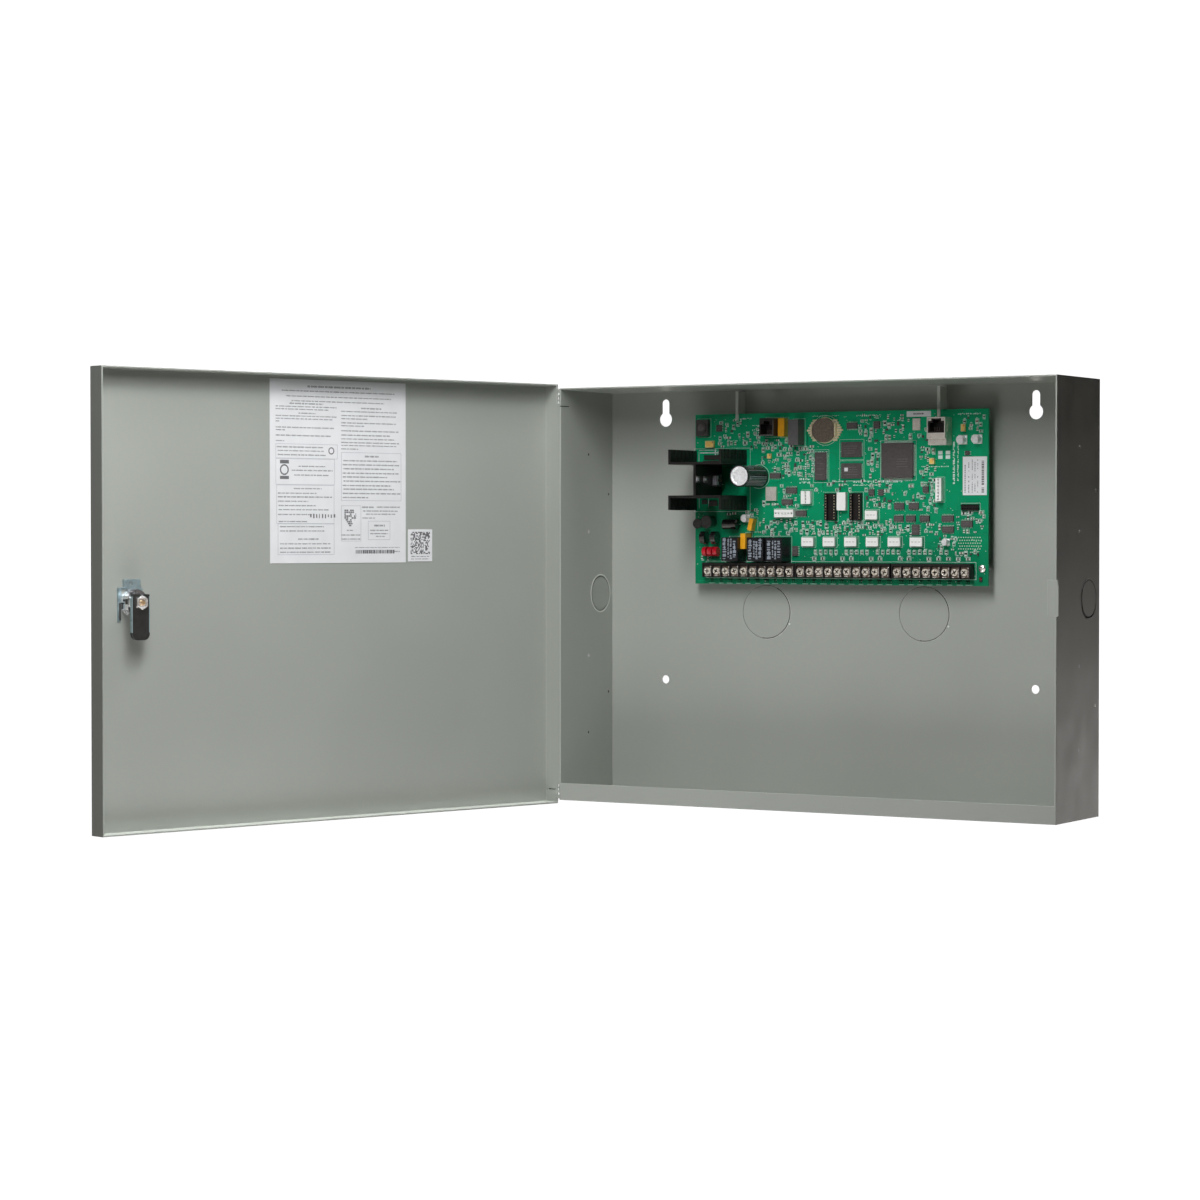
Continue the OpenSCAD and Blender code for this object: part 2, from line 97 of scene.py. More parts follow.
# ---------------- materials


LOOKS = {}


class Nodes:
    """Short calls for building one material's node tree; the material is kept in LOOKS by name."""

    def __init__(self, name):
        self.material = LOOKS[name] = bpy.data.materials.new(name)
        self.material.use_nodes = True
        self.tree = self.material.node_tree
        self.tree.nodes.clear()
        self.shader = self.new("ShaderNodeBsdfPrincipled")
        self.new("ShaderNodeOutputMaterial", {"Surface": self.shader.outputs["BSDF"]})
        self.where = self.new("ShaderNodeTexCoord").outputs["Object"]

    def feed(self, node, values):
        """Links outputs to a node's inputs, and sets the inputs that get a plain number or colour."""
        for key, value in values.items():
            socket = node.inputs[key]
            if isinstance(value, bpy.types.NodeSocket):
                self.tree.links.new(value, socket)
            else:
                socket.default_value = (*value, 1) if socket.type == "RGBA" else value

    def new(self, kind, values=(), **settings):
        node = self.tree.nodes.new(kind)
        for key, value in settings.items():
            setattr(node, key, value)
        self.feed(node, dict(values))
        return node

    def stretched(self, scale):
        return self.new("ShaderNodeMapping", {"Scale": scale, "Vector": self.where}).outputs["Vector"]

    def noise(self, scale, detail=3.0, rough=0.55, where=None):
        values = {"Vector": where or self.where, "Scale": scale, "Detail": detail, "Roughness": rough}
        return self.new("ShaderNodeTexNoise", values).outputs["Fac"]

    def remap(self, value, low, high, to_low=0.0, to_high=1.0):
        values = {"Value": value, "From Min": low, "From Max": high, "To Min": to_low, "To Max": to_high}
        return self.new("ShaderNodeMapRange", values).outputs["Result"]

    def mix(self, factor, a, b):
        return self.new("ShaderNodeMix", {0: factor, 6: a, 7: b}, data_type="RGBA").outputs[2]

    def multiply(self, a, b):
        return self.new("ShaderNodeMath", {0: a, 1: b}, operation="MULTIPLY").outputs[0]

    def rounded(self, radius):
        """Normal of an edge rounded to this radius, and a mask of where the edge is."""
        soft = self.new("ShaderNodeBevel", {"Radius": radius}, samples=6).outputs["Normal"]
        true = self.new("ShaderNodeNewGeometry").outputs["Normal"]
        agree = self.new("ShaderNodeVectorMath", {0: soft, 1: true}, operation="DOT_PRODUCT")
        return soft, self.remap(agree.outputs["Value"], 0.99, 0.8)

    def bump(self, height, distance, normal, strength=1.0):
        values = {"Strength": strength, "Distance": distance, "Height": height, "Normal": normal}
        self.feed(self.shader, {"Normal": self.new("ShaderNodeBump", values).outputs["Normal"]})


def scaled(color, factor):
    return tuple(min(1.0, c * factor) for c in color)


def finish(name, color, rough=0.5, metal=0.0, vary=0.1, patch=90.0, grain=1500.0, bump=0.00002,
           edge=0.0002, edge_highlight_and_rub=0.25, highlighted_and_rubbed=None, spread=0.1, streak=None, coat=0.0, specular=0.5):
    """A surface with patchy colour, uneven gloss, fine relief, and edges lightened as painted highlight and
    rubbed metal.
    """
    n = Nodes(name)
    broad = n.noise(patch)
    fine = n.noise(grain, 2.0, where=n.stretched(streak) if streak else None)
    base = n.mix(n.remap(broad, 0.3, 0.7), scaled(color, 1 - vary), scaled(color, 1 + vary))
    base = n.mix(n.remap(fine, 0.35, 0.65, 0.0, 0.35), base, scaled(color, 1 - vary * 1.6))
    normal, edges = n.rounded(edge)
    # Edges lightened towards a paler tone: painted highlight, partly rubbed metal.
    base = n.mix(n.multiply(edges, edge_highlight_and_rub), base, highlighted_and_rubbed or scaled(color, 1.5))
    gloss = n.remap(fine, 0.3, 0.7, max(0.03, rough - spread), min(1, rough + spread))
    n.bump(fine, bump, normal)
    n.feed(n.shader, {"Base Color": base, "Roughness": gloss, "Metallic": metal,
                      "Specular IOR Level": specular, "Coat Weight": coat, "Coat Roughness": 0.12})


def print_ink(name, color, rough=0.5, vary=0.2):
    """Ink of printed marks: fine uneven tone, hardly any relief and no lightened edges."""
    finish(name, color, rough, 0.0, vary, 900, 4000, bump=0.000003, edge_highlight_and_rub=0.0)


def powder_coat(name, color):
    """Satin powder coat on sheet steel: slow tone drift, orange peel, specks, and folds and edges lightened
    as painted highlight.
    """
    n = Nodes(name)
    drift = n.noise(6.0, 2.0)
    peel = n.noise(1100.0, 2.0, 0.4)
    speck = n.remap(n.noise(2600.0, 1.0), 0.66, 0.74)
    base = n.mix(n.remap(drift, 0.35, 0.65), scaled(color, 0.965), scaled(color, 1.03))
    base = n.mix(n.multiply(speck, 0.1), base, scaled(color, 0.6))
    normal, edges = n.rounded(0.0008)
    # Painted highlight: folded edges lightened towards a paler copy of the paint.
    base = n.mix(n.multiply(edges, 0.6), base, scaled(color, 1.75))
    n.bump(peel, 0.000045, normal, 0.5)
    n.feed(n.shader, {"Base Color": base, "Roughness": n.remap(n.noise(40.0), 0.3, 0.7, 0.33, 0.43),
                      "Specular IOR Level": 0.5})


PAINT = (0.39, 0.412, 0.38)
GREEN = (0.0006, 0.272, 0.12)

powder_coat("paint", PAINT)
# Paler copies of the paint: painted light on parts that stand in more light, and painted highlights on rims,
# nubs and the door's foot flange.
powder_coat("painted_light_paint", scaled(PAINT, 1.7))
powder_coat("rim_paint", scaled(PAINT, 2.2))
finish("zinc", (0.62, 0.63, 0.64), 0.34, 1, 0.12, 260, 2400, streak=(1, 1, 12))
finish("nickel", (0.95, 0.84, 0.74), 0.3, 0.45, 0.16, 900, 3000, spread=0.14, edge_highlight_and_rub=0.6)
finish("old_nickel", (0.17, 0.13, 0.1), 0.4, 0.5, 0.3, 900, 3000, spread=0.14, edge_highlight_and_rub=0.5)
# Painted shade in the terminal screws' slots.
finish("painted_slot_shade", (0.025, 0.018, 0.014), 0.6, 0, 0.3, 900, 3000, edge_highlight_and_rub=0, specular=0.2)
# Painted shadow of the terminal blocks on the green board.
finish("painted_shadow_mask", (0.0006, 0.045, 0.022), 0.4, 0, 0.25, 300, 2000, edge_highlight_and_rub=0, specular=0.15)
finish("pale_mask", (0.3, 0.55, 0.42), 0.5, 0, 0.2, 600, 2400, edge_highlight_and_rub=0, specular=0.2)
finish("bright_nickel", (0.9, 0.88, 0.86), 0.2, 0.85, 0.12, 500, 2600, edge_highlight_and_rub=0.6, spread=0.08)
finish("gloss_black", (0.014, 0.013, 0.013), 0.14, 0, 0.3, 300, 1800, coat=1, edge_highlight_and_rub=0.3, spread=0.05)
finish("chrome", (0.88, 0.89, 0.92), 0.12, 1, 0.05, 300, 3000, bump=0.000004, spread=0.05)
finish("spring_steel", (0.42, 0.55, 0.6), 0.3, 0.75, 0.16, 260, 2500, edge_highlight_and_rub=0.5)
finish("cam_steel", (0.028, 0.028, 0.027), 0.46, 0.35, 0.25, 260, 1800, edge=0.0004, edge_highlight_and_rub=0.85,
       highlighted_and_rubbed=(0.3, 0.35, 0.37))
finish("brass", (0.72, 0.52, 0.3), 0.26, 1, 0.12, 400, 2600, edge_highlight_and_rub=0.5)
finish("tin", (0.74, 0.82, 0.76), 0.36, 0.3, 0.14, 700, 3500, edge_highlight_and_rub=0.4)
finish("steel_shell", (0.7, 0.67, 0.62), 0.33, 0.6, 0.1, 300, 2600, streak=(14, 1, 1))
finish("gold", (0.9, 0.8, 0.56), 0.34, 0.35, 0.14, 600, 3000, edge_highlight_and_rub=0.5)
finish("cell_steel", (0.16, 0.13, 0.105), 0.42, 0.5, 0.3, 700, 2600, streak=(1, 1, 10))
finish("can_top", (0.85, 0.86, 0.9), 0.34, 0.4, 0.16, 700, 1600, bump=0.0001, edge_highlight_and_rub=0.3)
finish("sleeve", (0.016, 0.017, 0.017), 0.24, 0, 0.2, 200, 1500, bump=0.00001, specular=0.4, spread=0.06)
finish("coil_face", (0.11, 0.1, 0.1), 0.4, 0, 0.3, 300, 1800, edge_highlight_and_rub=0.2)
# Painted highlights: glints on the lock and nut, bright rims and pilot hole linings on the walls.
finish("glint", (0.95, 0.96, 0.98), 0.22, 0.35, 0.1, 500, 2600, edge_highlight_and_rub=0.3, spread=0.06)
finish("black_metal", (0.007, 0.006, 0.006), 0.42, 0, 0.3, 160, 1400, edge_highlight_and_rub=0.5,
       highlighted_and_rubbed=(0.06, 0.06, 0.06), specular=0.3)
finish("black_plastic", (0.009, 0.007, 0.007), 0.42, 0, 0.25, 300, 2200, specular=0.3)
finish("relay_case", (0.01, 0.011, 0.014), 0.28, 0, 0.2, 200, 1800, bump=0.000008, specular=0.35)
finish("grey_plastic", (0.12, 0.115, 0.12), 0.4, 0, 0.12, 300, 2000, specular=0.35)
finish("epoxy", (0.088, 0.078, 0.078), 0.5, 0, 0.18, 500, 3200, edge_highlight_and_rub=0.3, specular=0.3)
finish("white_plastic", (0.95, 0.95, 0.93), 0.42, 0, 0.03, 300, 2000, bump=0.00001)
finish("amber", (0.86, 0.4, 0.012), 0.3, 0, 0.14, 200, 1600, coat=0.5, edge_highlight_and_rub=0.4)
finish("ochre", (1, 0.62, 0.16), 0.42, 0, 0.12, 500, 2400)
finish("red", (0.56, 0.004, 0.02), 0.25, 0, 0.2, 300, 1800, coat=0.6, edge_highlight_and_rub=0.3)
finish("ferrite", (0.05, 0.045, 0.045), 0.55, 0, 0.25, 400, 2200, bump=0.00004)
finish("paper", (0.84, 0.85, 0.87), 0.62, 0, 0.03, 60, 2600, bump=0.000012, edge_highlight_and_rub=0.1, specular=0.3)
print_ink("ink", (0.17, 0.17, 0.18), 0.6)
print_ink("relay_ink", (0.3, 0.34, 0.4), 0.5, 0.25)
print_ink("chip_ink", (0.15, 0.14, 0.14))
print_ink("pale_print", (0.24, 0.23, 0.23))
print_ink("faint_print", (0.6, 0.6, 0.58), 0.5, 0.1)
finish("dark_can", (0.022, 0.021, 0.02), 0.36, 0, 0.3, 400, 2200, edge_highlight_and_rub=0.4)
print_ink("grey_ink", (0.36, 0.38, 0.42), 0.5, 0.25)
finish("silkscreen", (0.8, 0.96, 0.88), 0.55, 0, 0.15, 900, 4000, bump=0.000006, edge_highlight_and_rub=0)
finish("trace", (0.003, 0.3, 0.13), 0.36, 0, 0.12, 500, 3000, bump=0.000004, edge_highlight_and_rub=0.2, specular=0.3)
finish("dull_tab", (0.62, 0.64, 0.7), 0.35, 0.5, 0.3, 900, 3000, edge_highlight_and_rub=0.5, spread=0.12)
# Painted shade between the heat sink's wings.
finish("dull_plate", (0.03, 0.027, 0.026), 0.4, 0, 0.3, 400, 2000, edge_highlight_and_rub=0.2, spread=0.1)
finish("bay_line", (0.72, 0.84, 0.8), 0.5, 0, 0.3, 400, 2000, edge_highlight_and_rub=0)
finish("cream_rim", (0.9, 0.74, 0.42), 0.4, 0, 0.2, 500, 2400, edge_highlight_and_rub=0.2)
finish("rust_band", (0.6, 0.14, 0.03), 0.4, 0, 0.2, 500, 2400, edge_highlight_and_rub=0.2)
finish("resistor", (0.02, 0.018, 0.018), 0.45, 0, 0.4, 700, 4000, edge_highlight_and_rub=0.2, specular=0.3)
finish("ceramic", (0.24, 0.19, 0.14), 0.45, 0, 0.25, 700, 4000, edge_highlight_and_rub=0.2)
# Painted shade: fills gaps, slits and pilot holes, and darkens parts of the lock.
finish("dark_gap", (0.05, 0.05, 0.047), 0.7, 0, 0.3, 500, 2500, edge_highlight_and_rub=0)
finish("red_lens", (0.3, 0.01, 0.012), 0.2, 0, 0.2, 700, 3000, coat=0.7, edge_highlight_and_rub=0.2)


def solder_mask():
    """Green board: copper pours showing as paler and darker fields under a glossy mask, painted darker
    towards the bottom and brighter towards the top, with painted highlights on the edges.
    """
    n = Nodes("solder_mask")
    pour = n.new("ShaderNodeTexVoronoi", {"Vector": n.where, "Scale": 55.0}, distance="MANHATTAN")
    fields = n.remap(pour.outputs["Color"], 0.2, 0.8)
    weave = n.noise(1700.0, 2.0, where=n.stretched((1, 1, 3)))
    base = n.mix(fields, scaled(GREEN, 0.82), scaled(GREEN, 1.1))
    base = n.mix(n.remap(n.noise(22.0), 0.3, 0.7, 0.0, 0.5), base, scaled(GREEN, 0.86))
    base = n.mix(n.remap(weave, 0.3, 0.7, 0.0, 0.25), base, scaled(GREEN, 0.7))
    # Painted light: the green gets darker low on the board and brighter high up, by height alone.
    height = n.new("ShaderNodeSeparateXYZ", {0: n.where}).outputs["Z"]
    darker, brighter = n.mix(0.16, base, (0.0, 0.0, 0.0)), n.mix(0.5, base, scaled(GREEN, 2.1))
    base = n.mix(n.remap(height, 0.015, 0.15), darker, brighter)
    normal, edges = n.rounded(0.0003)
    # Painted highlight: edges lightened.
    base = n.mix(n.multiply(edges, 0.3), base, (0.25, 0.42, 0.2))
    n.bump(pour.outputs["Distance"], 0.00003, normal, 0.4)
    n.feed(n.shader, {"Base Color": base, "Roughness": n.remap(weave, 0.3, 0.7, 0.3, 0.42),
                      "Specular IOR Level": 0.18})


solder_mask()

NODE_LOOKS = {
    "paint": "cabinet_box back_knockouts side_knockouts door_panel",
    # The board hangers get the paler copy of the paint as painted light.
    "painted_light_paint": "board_hangers",
    "zinc": "hinge_pins hinge_spacers board_posts",
    "nickel": "terminal_screws",
    "old_nickel": "terminal_clamps",
    "solder_mask": "circuit_board",
    "black_plastic": "terminal_blocks phone_jack network_jack_insert chip_sockets black_header",
    "black_metal": "heat_sink",
    "epoxy": "power_transistors processor memory_chips small_chips",
    "can_top": "capacitor_can small_cans",
    "sleeve": "capacitor_sleeve",
    "gloss_black": "filter_capacitors disc_suppressors axial_choke",
    "relay_case": "output_relays",
    "grey_plastic": "line_relay",
    "steel_shell": "network_jack_shell shield_cans",
    "tin": "processor_leads memory_leads",
    "cell_steel": "coin_cell",
    "gold": "cell_holder",
    "white_plastic": "setup_card zone_isolators white_headers",
    "amber": "film_capacitors",
    "ochre": "tantalum_capacitors",
    "red": "red_suppressors",
    "ferrite": "power_inductor",
    "paper": "board_labels instruction_label code_label",
    "chrome": "lock_housing lock_plug",
    "spring_steel": "lock_clip",
    "cam_steel": "lock_cam",
    "bright_nickel": "cam_screw board_screw",
}
for look, names in NODE_LOOKS.items():
    for node in names.split():
        NODES[node].data.materials.clear()
        NODES[node].data.materials.append(LOOKS[look])

# ---------------- places

board_low, board_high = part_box("circuit_board")


def on_board(x, y, h):
    """Millimetres right of, above and in front of the board's lower left corner."""
    return board_low.x + x * MM, board_low.y - h * MM, board_low.z + y * MM


hinge = JOINTS["door_hinge"]
hinge_x, hinge_y = hinge["pos_m"][0], hinge["pos_m"][1]
swing = radians(max(hinge["range_deg"]))
door_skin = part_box("cabinet_box")[0].y - 7.5 * MM


def on_door(x, y, h):
    """Millimetres on the shut door: across from the centre, up, and inward from the inner skin."""
    dx, dy = x * MM - hinge_x, door_skin + h * MM - hinge_y
    return (hinge_x + dx * cos(swing) + dy * sin(swing),
            hinge_y - dx * sin(swing) + dy * cos(swing), y * MM)


def door_place(x0, y0, across, face):
    """Places counted from x0, y0 on the door: across in that direction, down, and off that face."""
    return lambda x, y, h: on_door(x0 + across * x, y0 - y, face + h)


LABEL_FACE = 0.3
on_lock = door_place(191.65, -1, 1, 0)
on_sheet = door_place(61.5, 171.6, -1, LABEL_FACE)
on_code = door_place(-75.8, 54, -1, LABEL_FACE)
SHEET = 1.2


def in_cabinet(x, y, h):
    """Millimetres right of and above the centre, and in front of the back panel's face."""
    return x * MM, -(SHEET + h) * MM, y * MM


def around(x, y, r, angle):
    """The point at this distance and angle from x, y."""
    return x + r * cos(angle), y + r * sin(angle)


class Shape:
    """Collects closed solids into one mesh."""

    def __init__(self, place=on_board):
        self.place, self.points, self.faces = place, [], []

    def add(self, points, faces):
        start = len(self.points)
        self.points += [self.place(*p) for p in points]
        self.faces += [[start + i for i in f] for f in faces]

    def loft(self, rings):
        """Rings of equal length, joined in order and closed at both ends."""
        n = len(rings[0])
        faces = [list(range(n))[::-1], [n * (len(rings) - 1) + i for i in range(n)]]
        for k in range(0, n * (len(rings) - 1), n):
            faces += [[k + i, k + (i + 1) % n, k + n + (i + 1) % n, k + n + i] for i in range(n)]
        self.add([p for ring in rings for p in ring], faces)

    def block(self, x0, y0, h0, x1, y1, h1, chamfer=0.0):
        """A box whose top edges are chamfered."""
        def ring(c, h):
            return [(x0 + c, y0 + c, h), (x1 - c, y0 + c, h), (x1 - c, y1 - c, h), (x0 + c, y1 - c, h)]
        self.loft([ring(0, h0)] + ([ring(0, h1 - chamfer)] if chamfer else []) + [ring(chamfer, h1)])

    def bar(self, a, b, width, h0, h1):
        """A flat strip from a to b."""
        ax, ay = a
        bx, by = b
        length = hypot(bx - ax, by - ay) or 1.0
        ox, oy = -(by - ay) / length * width / 2, (bx - ax) / length * width / 2
        flat = [(ax - ox, ay - oy), (bx - ox, by - oy), (bx + ox, by + oy), (ax + ox, ay + oy)]
        self.loft([[(x, y, h) for x, y in flat] for h in (h0, h1)])

    def outline(self, x0, y0, x1, y1, width, h0, h1):
        for a, b in (((x0, y0), (x1, y0)), ((x1, y0), (x1, y1)), ((x1, y1), (x0, y1)), ((x0, y1), (x0, y0))):
            self.bar(a, b, width, h0, h1)

    def turned(self, x, y, profile, n=24):
        """A round solid from (radius, height) pairs, its axis towards the viewer."""
        self.loft([[(*around(x, y, r, i * 2 * pi / n), h) for i in range(n)] for r, h in profile])

    def ring(self, x, y, outer, inner, h0, h1, n=32, start=0.0, end=2 * pi):
        """A flat ring, or part of one."""
        whole = abs(end - start - 2 * pi) < 1e-6
        steps = n if whole else n + 1
        points = []
        for i in range(steps):
            near, far = (around(x, y, r, start + (end - start) * i / n) for r in (inner, outer))
            points += [(*near, h0), (*far, h0), (*far, h1), (*near, h1)]
        faces = []
        for i in range(n):
            a, b = 4 * i, 4 * ((i + 1) % steps)
            faces += [[a + j, a + (j + 1) % 4, b + (j + 1) % 4, b + j] for j in range(4)]
        if not whole:
            faces += [[3, 2, 1, 0], [4 * n + j for j in range(4)]]
        self.add(points, faces)

    def piece(self, name, look, slot, body="cabinet", replaces=()):
        """Makes the mesh, with the look, riding on the body; the slot is not used."""
        mesh = bpy.data.meshes.new(name)
        mesh.from_pydata(self.points, [], self.faces)
        solid = bmesh.new()
        solid.from_mesh(mesh)
        bmesh.ops.recalc_face_normals(solid, faces=solid.faces)
        solid.to_mesh(mesh)
        solid.free()
        made = in_scene(name, mesh)
        mesh.materials.append(LOOKS[look])
        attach(made, body)
        if replaces:
            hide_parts(*replaces)


class Solid(namedtuple("Solid", "x0 y0 h0 x1 y1 h1")):
    """A board part's footprint and its lower and upper height, in board millimetres."""
    x = property(lambda part: (part.x0 + part.x1) / 2)
    y = property(lambda part: (part.y0 + part.y1) / 2)
    r = property(lambda part: (part.x1 - part.x0) / 2)


def solids(node):
    """A board node's separate solids."""
    mesh = NODES[node].data
    places = np.array([v.co for v in mesh.vertices])
    _, joined = np.unique(np.round(places / 1e-6), axis=0, return_inverse=True)
    joined = joined.reshape(-1)
    parent = list(range(joined.max() + 1))

    def root(i):
        while parent[i] != i:
            parent[i] = parent[parent[i]]
            i = parent[i]
        return i

    for polygon in mesh.polygons:
        first = root(joined[polygon.vertices[0]])
        for v in polygon.vertices[1:]:
            parent[root(joined[v])] = first
    roots = np.array([root(i) for i in joined])
    x, y, z = places.T
    local = np.stack([x - board_low.x, z - board_low.z, board_low.y - y], 1) / MM
    boxes = [(*local[roots == r].min(0), *local[roots == r].max(0)) for r in set(roots)]
    return sorted(Solid(*(round(float(c), 3) for c in box)) for box in boxes)


# How far a thin raised piece reaches into what it lies on, and how thick printed marks are.
SUNK, INK = 0.02, 0.03

# ---------------- board: leads, pins and contacts


def plates(place, blocks, *names):
    """A piece made of plain blocks; names are its name, look, slot and body."""
    shape = Shape(place)
    for block in blocks:
        shape.block(*block)
    shape.piece(*names)


def gull_leads(shape, chip, ways, h, pitch, count, width, length):
    """Rows of gull-wing leads on a chip's sides, pointing in the given directions."""
    steps = (-0.05, 0.35, h, h + 0.15), (0.25, 0.42, 0.05, h + 0.15), (0.35, length, 0.02, 0.17)
    for sx, sy in ways:
        x, y = chip.x + sx * (chip.x1 - chip.x0) / 2, chip.y + sy * (chip.y1 - chip.y0) / 2
        for i in range(count):
            off = (i - (count - 1) / 2) * pitch
            sides = off - width / 2, off + width / 2
            for near, far, h0, h1 in steps:
                x0, x1 = sorted((sx * near, sx * far)) if sx else sides
                y0, y1 = sorted((sy * near, sy * far)) if sy else sides
                shape.block(x + x0, y + y0, h0, x + x1, y + y1, h1)


ACROSS, UP_DOWN = ((1, 0), (-1, 0)), ((0, 1), (0, -1))
quad, thin, small = Shape(), Shape(), Shape()
gull_leads(quad, solids("processor")[0], ACROSS + UP_DOWN, 1.4, 0.5, 50, 0.24, 1.5)
for chip in solids("memory_chips"):
    gull_leads(thin, chip, ACROSS, 0.6, 0.5, int((chip.y1 - chip.y0 - 1) / 0.5), 0.22, 0.9)
for chip in solids("small_chips"):
    wide, tall = chip.x1 - chip.x0, chip.y1 - chip.y0
    ways, run = (UP_DOWN, wide) if wide >= tall else (ACROSS, tall)
    count = max(3, int(run / 1.27))
    gull_leads(small, chip, ways, 0.7, run / count, count, 0.42, 1.1)
quad.piece("processor_lead_rows", "tin", "tinned", replaces=["processor_leads"])
thin.piece("memory_lead_rows", "tin", "tinned", replaces=["memory_leads"])
small.piece("small_chip_leads", "tin", "tinned")

PINS_BY_LENGTH = {10: 4, 17: 6, 18: 7}
pins = Shape()
for x0, y0, _, x1, y1, top in solids("white_headers"):
    up, run = y1 - y0 > x1 - x0, max(x1 - x0, y1 - y0)
    count = PINS_BY_LENGTH[int(run)]
    for i in range(count):
        along = (i + 0.5) * run / count
        x, y = ((x0 + x1) / 2, y0 + along) if up else (x0 + along, (y0 + y1) / 2)
        pins.block(x - 0.3, y - 0.3, top - 2.5, x + 0.3, y + 0.3, top - 0.5, 0.12)
pins.piece("header_pins", "tin", "tinned")

contacts = Shape()
for x0, y0, _, x1, y1, top in solids("chip_sockets"):
    for x in (x0 + 1.25, x1 - 1.25):
        for i in range(9):
            y = y0 + 1.7 + i * 2.3
            for left in (x - 0.42, x + 0.16):
                contacts.block(left, y - 0.46, 3.05, left + 0.26, y + 0.46, 3.9, 0.1)
contacts.piece("socket_contacts", "gold", "gold")

wires = Shape()
for node, count, inset in (("network_jack_insert", 8, 1.9), ("phone_jack", 6, 3.4)):
    x0, y0, _, x1, y1, top = solids(node)[0]
    for i in range(count):
        x = x0 + inset + i * (x1 - x0 - 2 * inset) / (count - 1)
        wires.bar((x, y0 + 1.8), (x, y0 + 5), 0.3, 4.6, 4.85)
        wires.block(x - 0.15, y0 + 1.7, 3.05, x + 0.15, y0 + 1.95, 4.85)
wires.piece("jack_contacts", "cell_steel", "gold")

x0, y0, _, x1, y1, top = solids("network_jack_insert")[0]
plates(on_board, [(x, y1 - 2.3, top - 0.1, x + 2.6, y1 - 0.7, top + 0.25, 0.15)
                  for x in (x0 + 0.3, x1 - 2.9)],
       "network_jack_lights", "pale_print", "grey_plastic")
x0, y0, _, x1, y1, top = solids("phone_jack")[0]
plates(on_board, [(x0 + 0.3, y0 + 0.25, top - 0.05, x1 - 0.3, y0 + 0.7, top + 0.15, 0.1),
                  (x1 - 0.7, y0 + 0.7, top - 0.05, x1 - 0.3, y1 - 1.2, top + 0.15, 0.1)],
       "phone_jack_rim", "pale_print", "grey_plastic")

# ---------------- board: larger parts' details

cell = solids("coin_cell")[0]
relief = Shape()
relief.ring(cell.x, cell.y, cell.r - 1.1, cell.r - 1.5, cell.h1 - SUNK, cell.h1 + 0.12, 48)
for row in range(5):
    y = cell.y + 4.2 - row * 2.1
    cut = abs(row - 2) * 0.7
    x = cell.x - 4.6 + cut
    while x < cell.x + 4.4 - cut:
        step = uniform(0.7, 2)
        relief.bar((x, y), (x + step, y), 0.5, cell.h1 - SUNK, cell.h1 + 0.07)
        x += step + 0.5
relief.piece("cell_face_relief", "cell_steel", "cell")

can = solids("capacitor_can")[0]
vent = Shape()
CRINKLES = 36
turn = [k * 2 * pi / CRINKLES for k in range(CRINKLES)]


def crinkled(r):
    return r + uniform(-0.25, 0.25) * (r > 2)


rings = []
for r, h in ((can.r - 0.35, -SUNK), (can.r - 0.3, 0.4), (can.r - 1.5, 0.75), (can.r - 2.6, 0.25),
             (can.r * 0.45, 0.42), (0.5, 0.2)):
    rings.append([(can.x + crinkled(r) * cos(a), can.y + crinkled(r) * sin(a),
                   can.h1 + h + (uniform(-0.22, 0.22) if h > 0.1 else 0)) for a in turn])
vent.loft(rings)
vent.piece("capacitor_vent", "can_top", "can")
band = Shape()
for a in np.arange(-0.45, 0.46, 0.15):
    band.turned(*around(can.x, can.y, can.r + 0.3, a - 0.5), [(0.35, 3), (0.35, can.h1 - 2)], 6)
for a, h0, h1 in ((1.05, 12, 30.5), (1.35, 5, 22), (0.55, 3, 31), (0.85, 20, 30)):
    band.turned(*around(can.x, can.y, can.r + 0.28, a), [(0.3, h0), (0.3, h1)], 6)
band.piece("capacitor_band", "grey_ink", "grey_plastic")

print_marks = Shape()
relays = solids("output_relays")
for x0, y0, _, x1, y1, top in relays:
    for at, wide, rise in ((1.2, 3.6, 1.6), (5.8, 1.6, 3), (8, 2, 1.6), (10.8, 3.2, 3)):
        y = y0 + rise
        while y < y1 - 2.6:
            tall = choice((0.8, 1.2, 2.4))
            cut = uniform(0, 0.35) * wide
            print_marks.block(x0 + at, y, top, x0 + at + wide - cut, y + tall, top + INK)
            if chance() < 0.5:
                left, right = x0 + at + wide * 0.35, x0 + at + wide * 0.65
                print_marks.block(left, y + tall, top, right, y + tall + 0.9, top + INK)
            y += tall + uniform(0.7, 1.3)
print_marks.piece("relay_prints", "relay_ink", "grey_plastic")
ribs = Shape()
for x0, y0, _, x1, y1, top in relays:
    ribs.outline(x0 + 0.35, y0 + 0.35, x1 - 0.35, y1 - 0.35, 0.5, top - 0.05, top + 0.25)
ribs.piece("relay_rims", "relay_case", "black_plastic")

chip_marks = Shape()


def mark_rows(shape, x0, y0, x1, y1, h, rows, height):
    """Rows of plain dashes, standing for print."""
    for row in range(rows):
        y = y1 - (row + 0.5) * (y1 - y0) / rows
        x = x0 + uniform(0, 0.1) * (x1 - x0)
        stop = x1 - uniform(0, 0.3) * (x1 - x0)
        while x < stop:
            step = uniform(0.5, 1.6)
            shape.bar((x, y), (min(x + step, stop), y), height, h, h + INK)
            x += step + 0.35


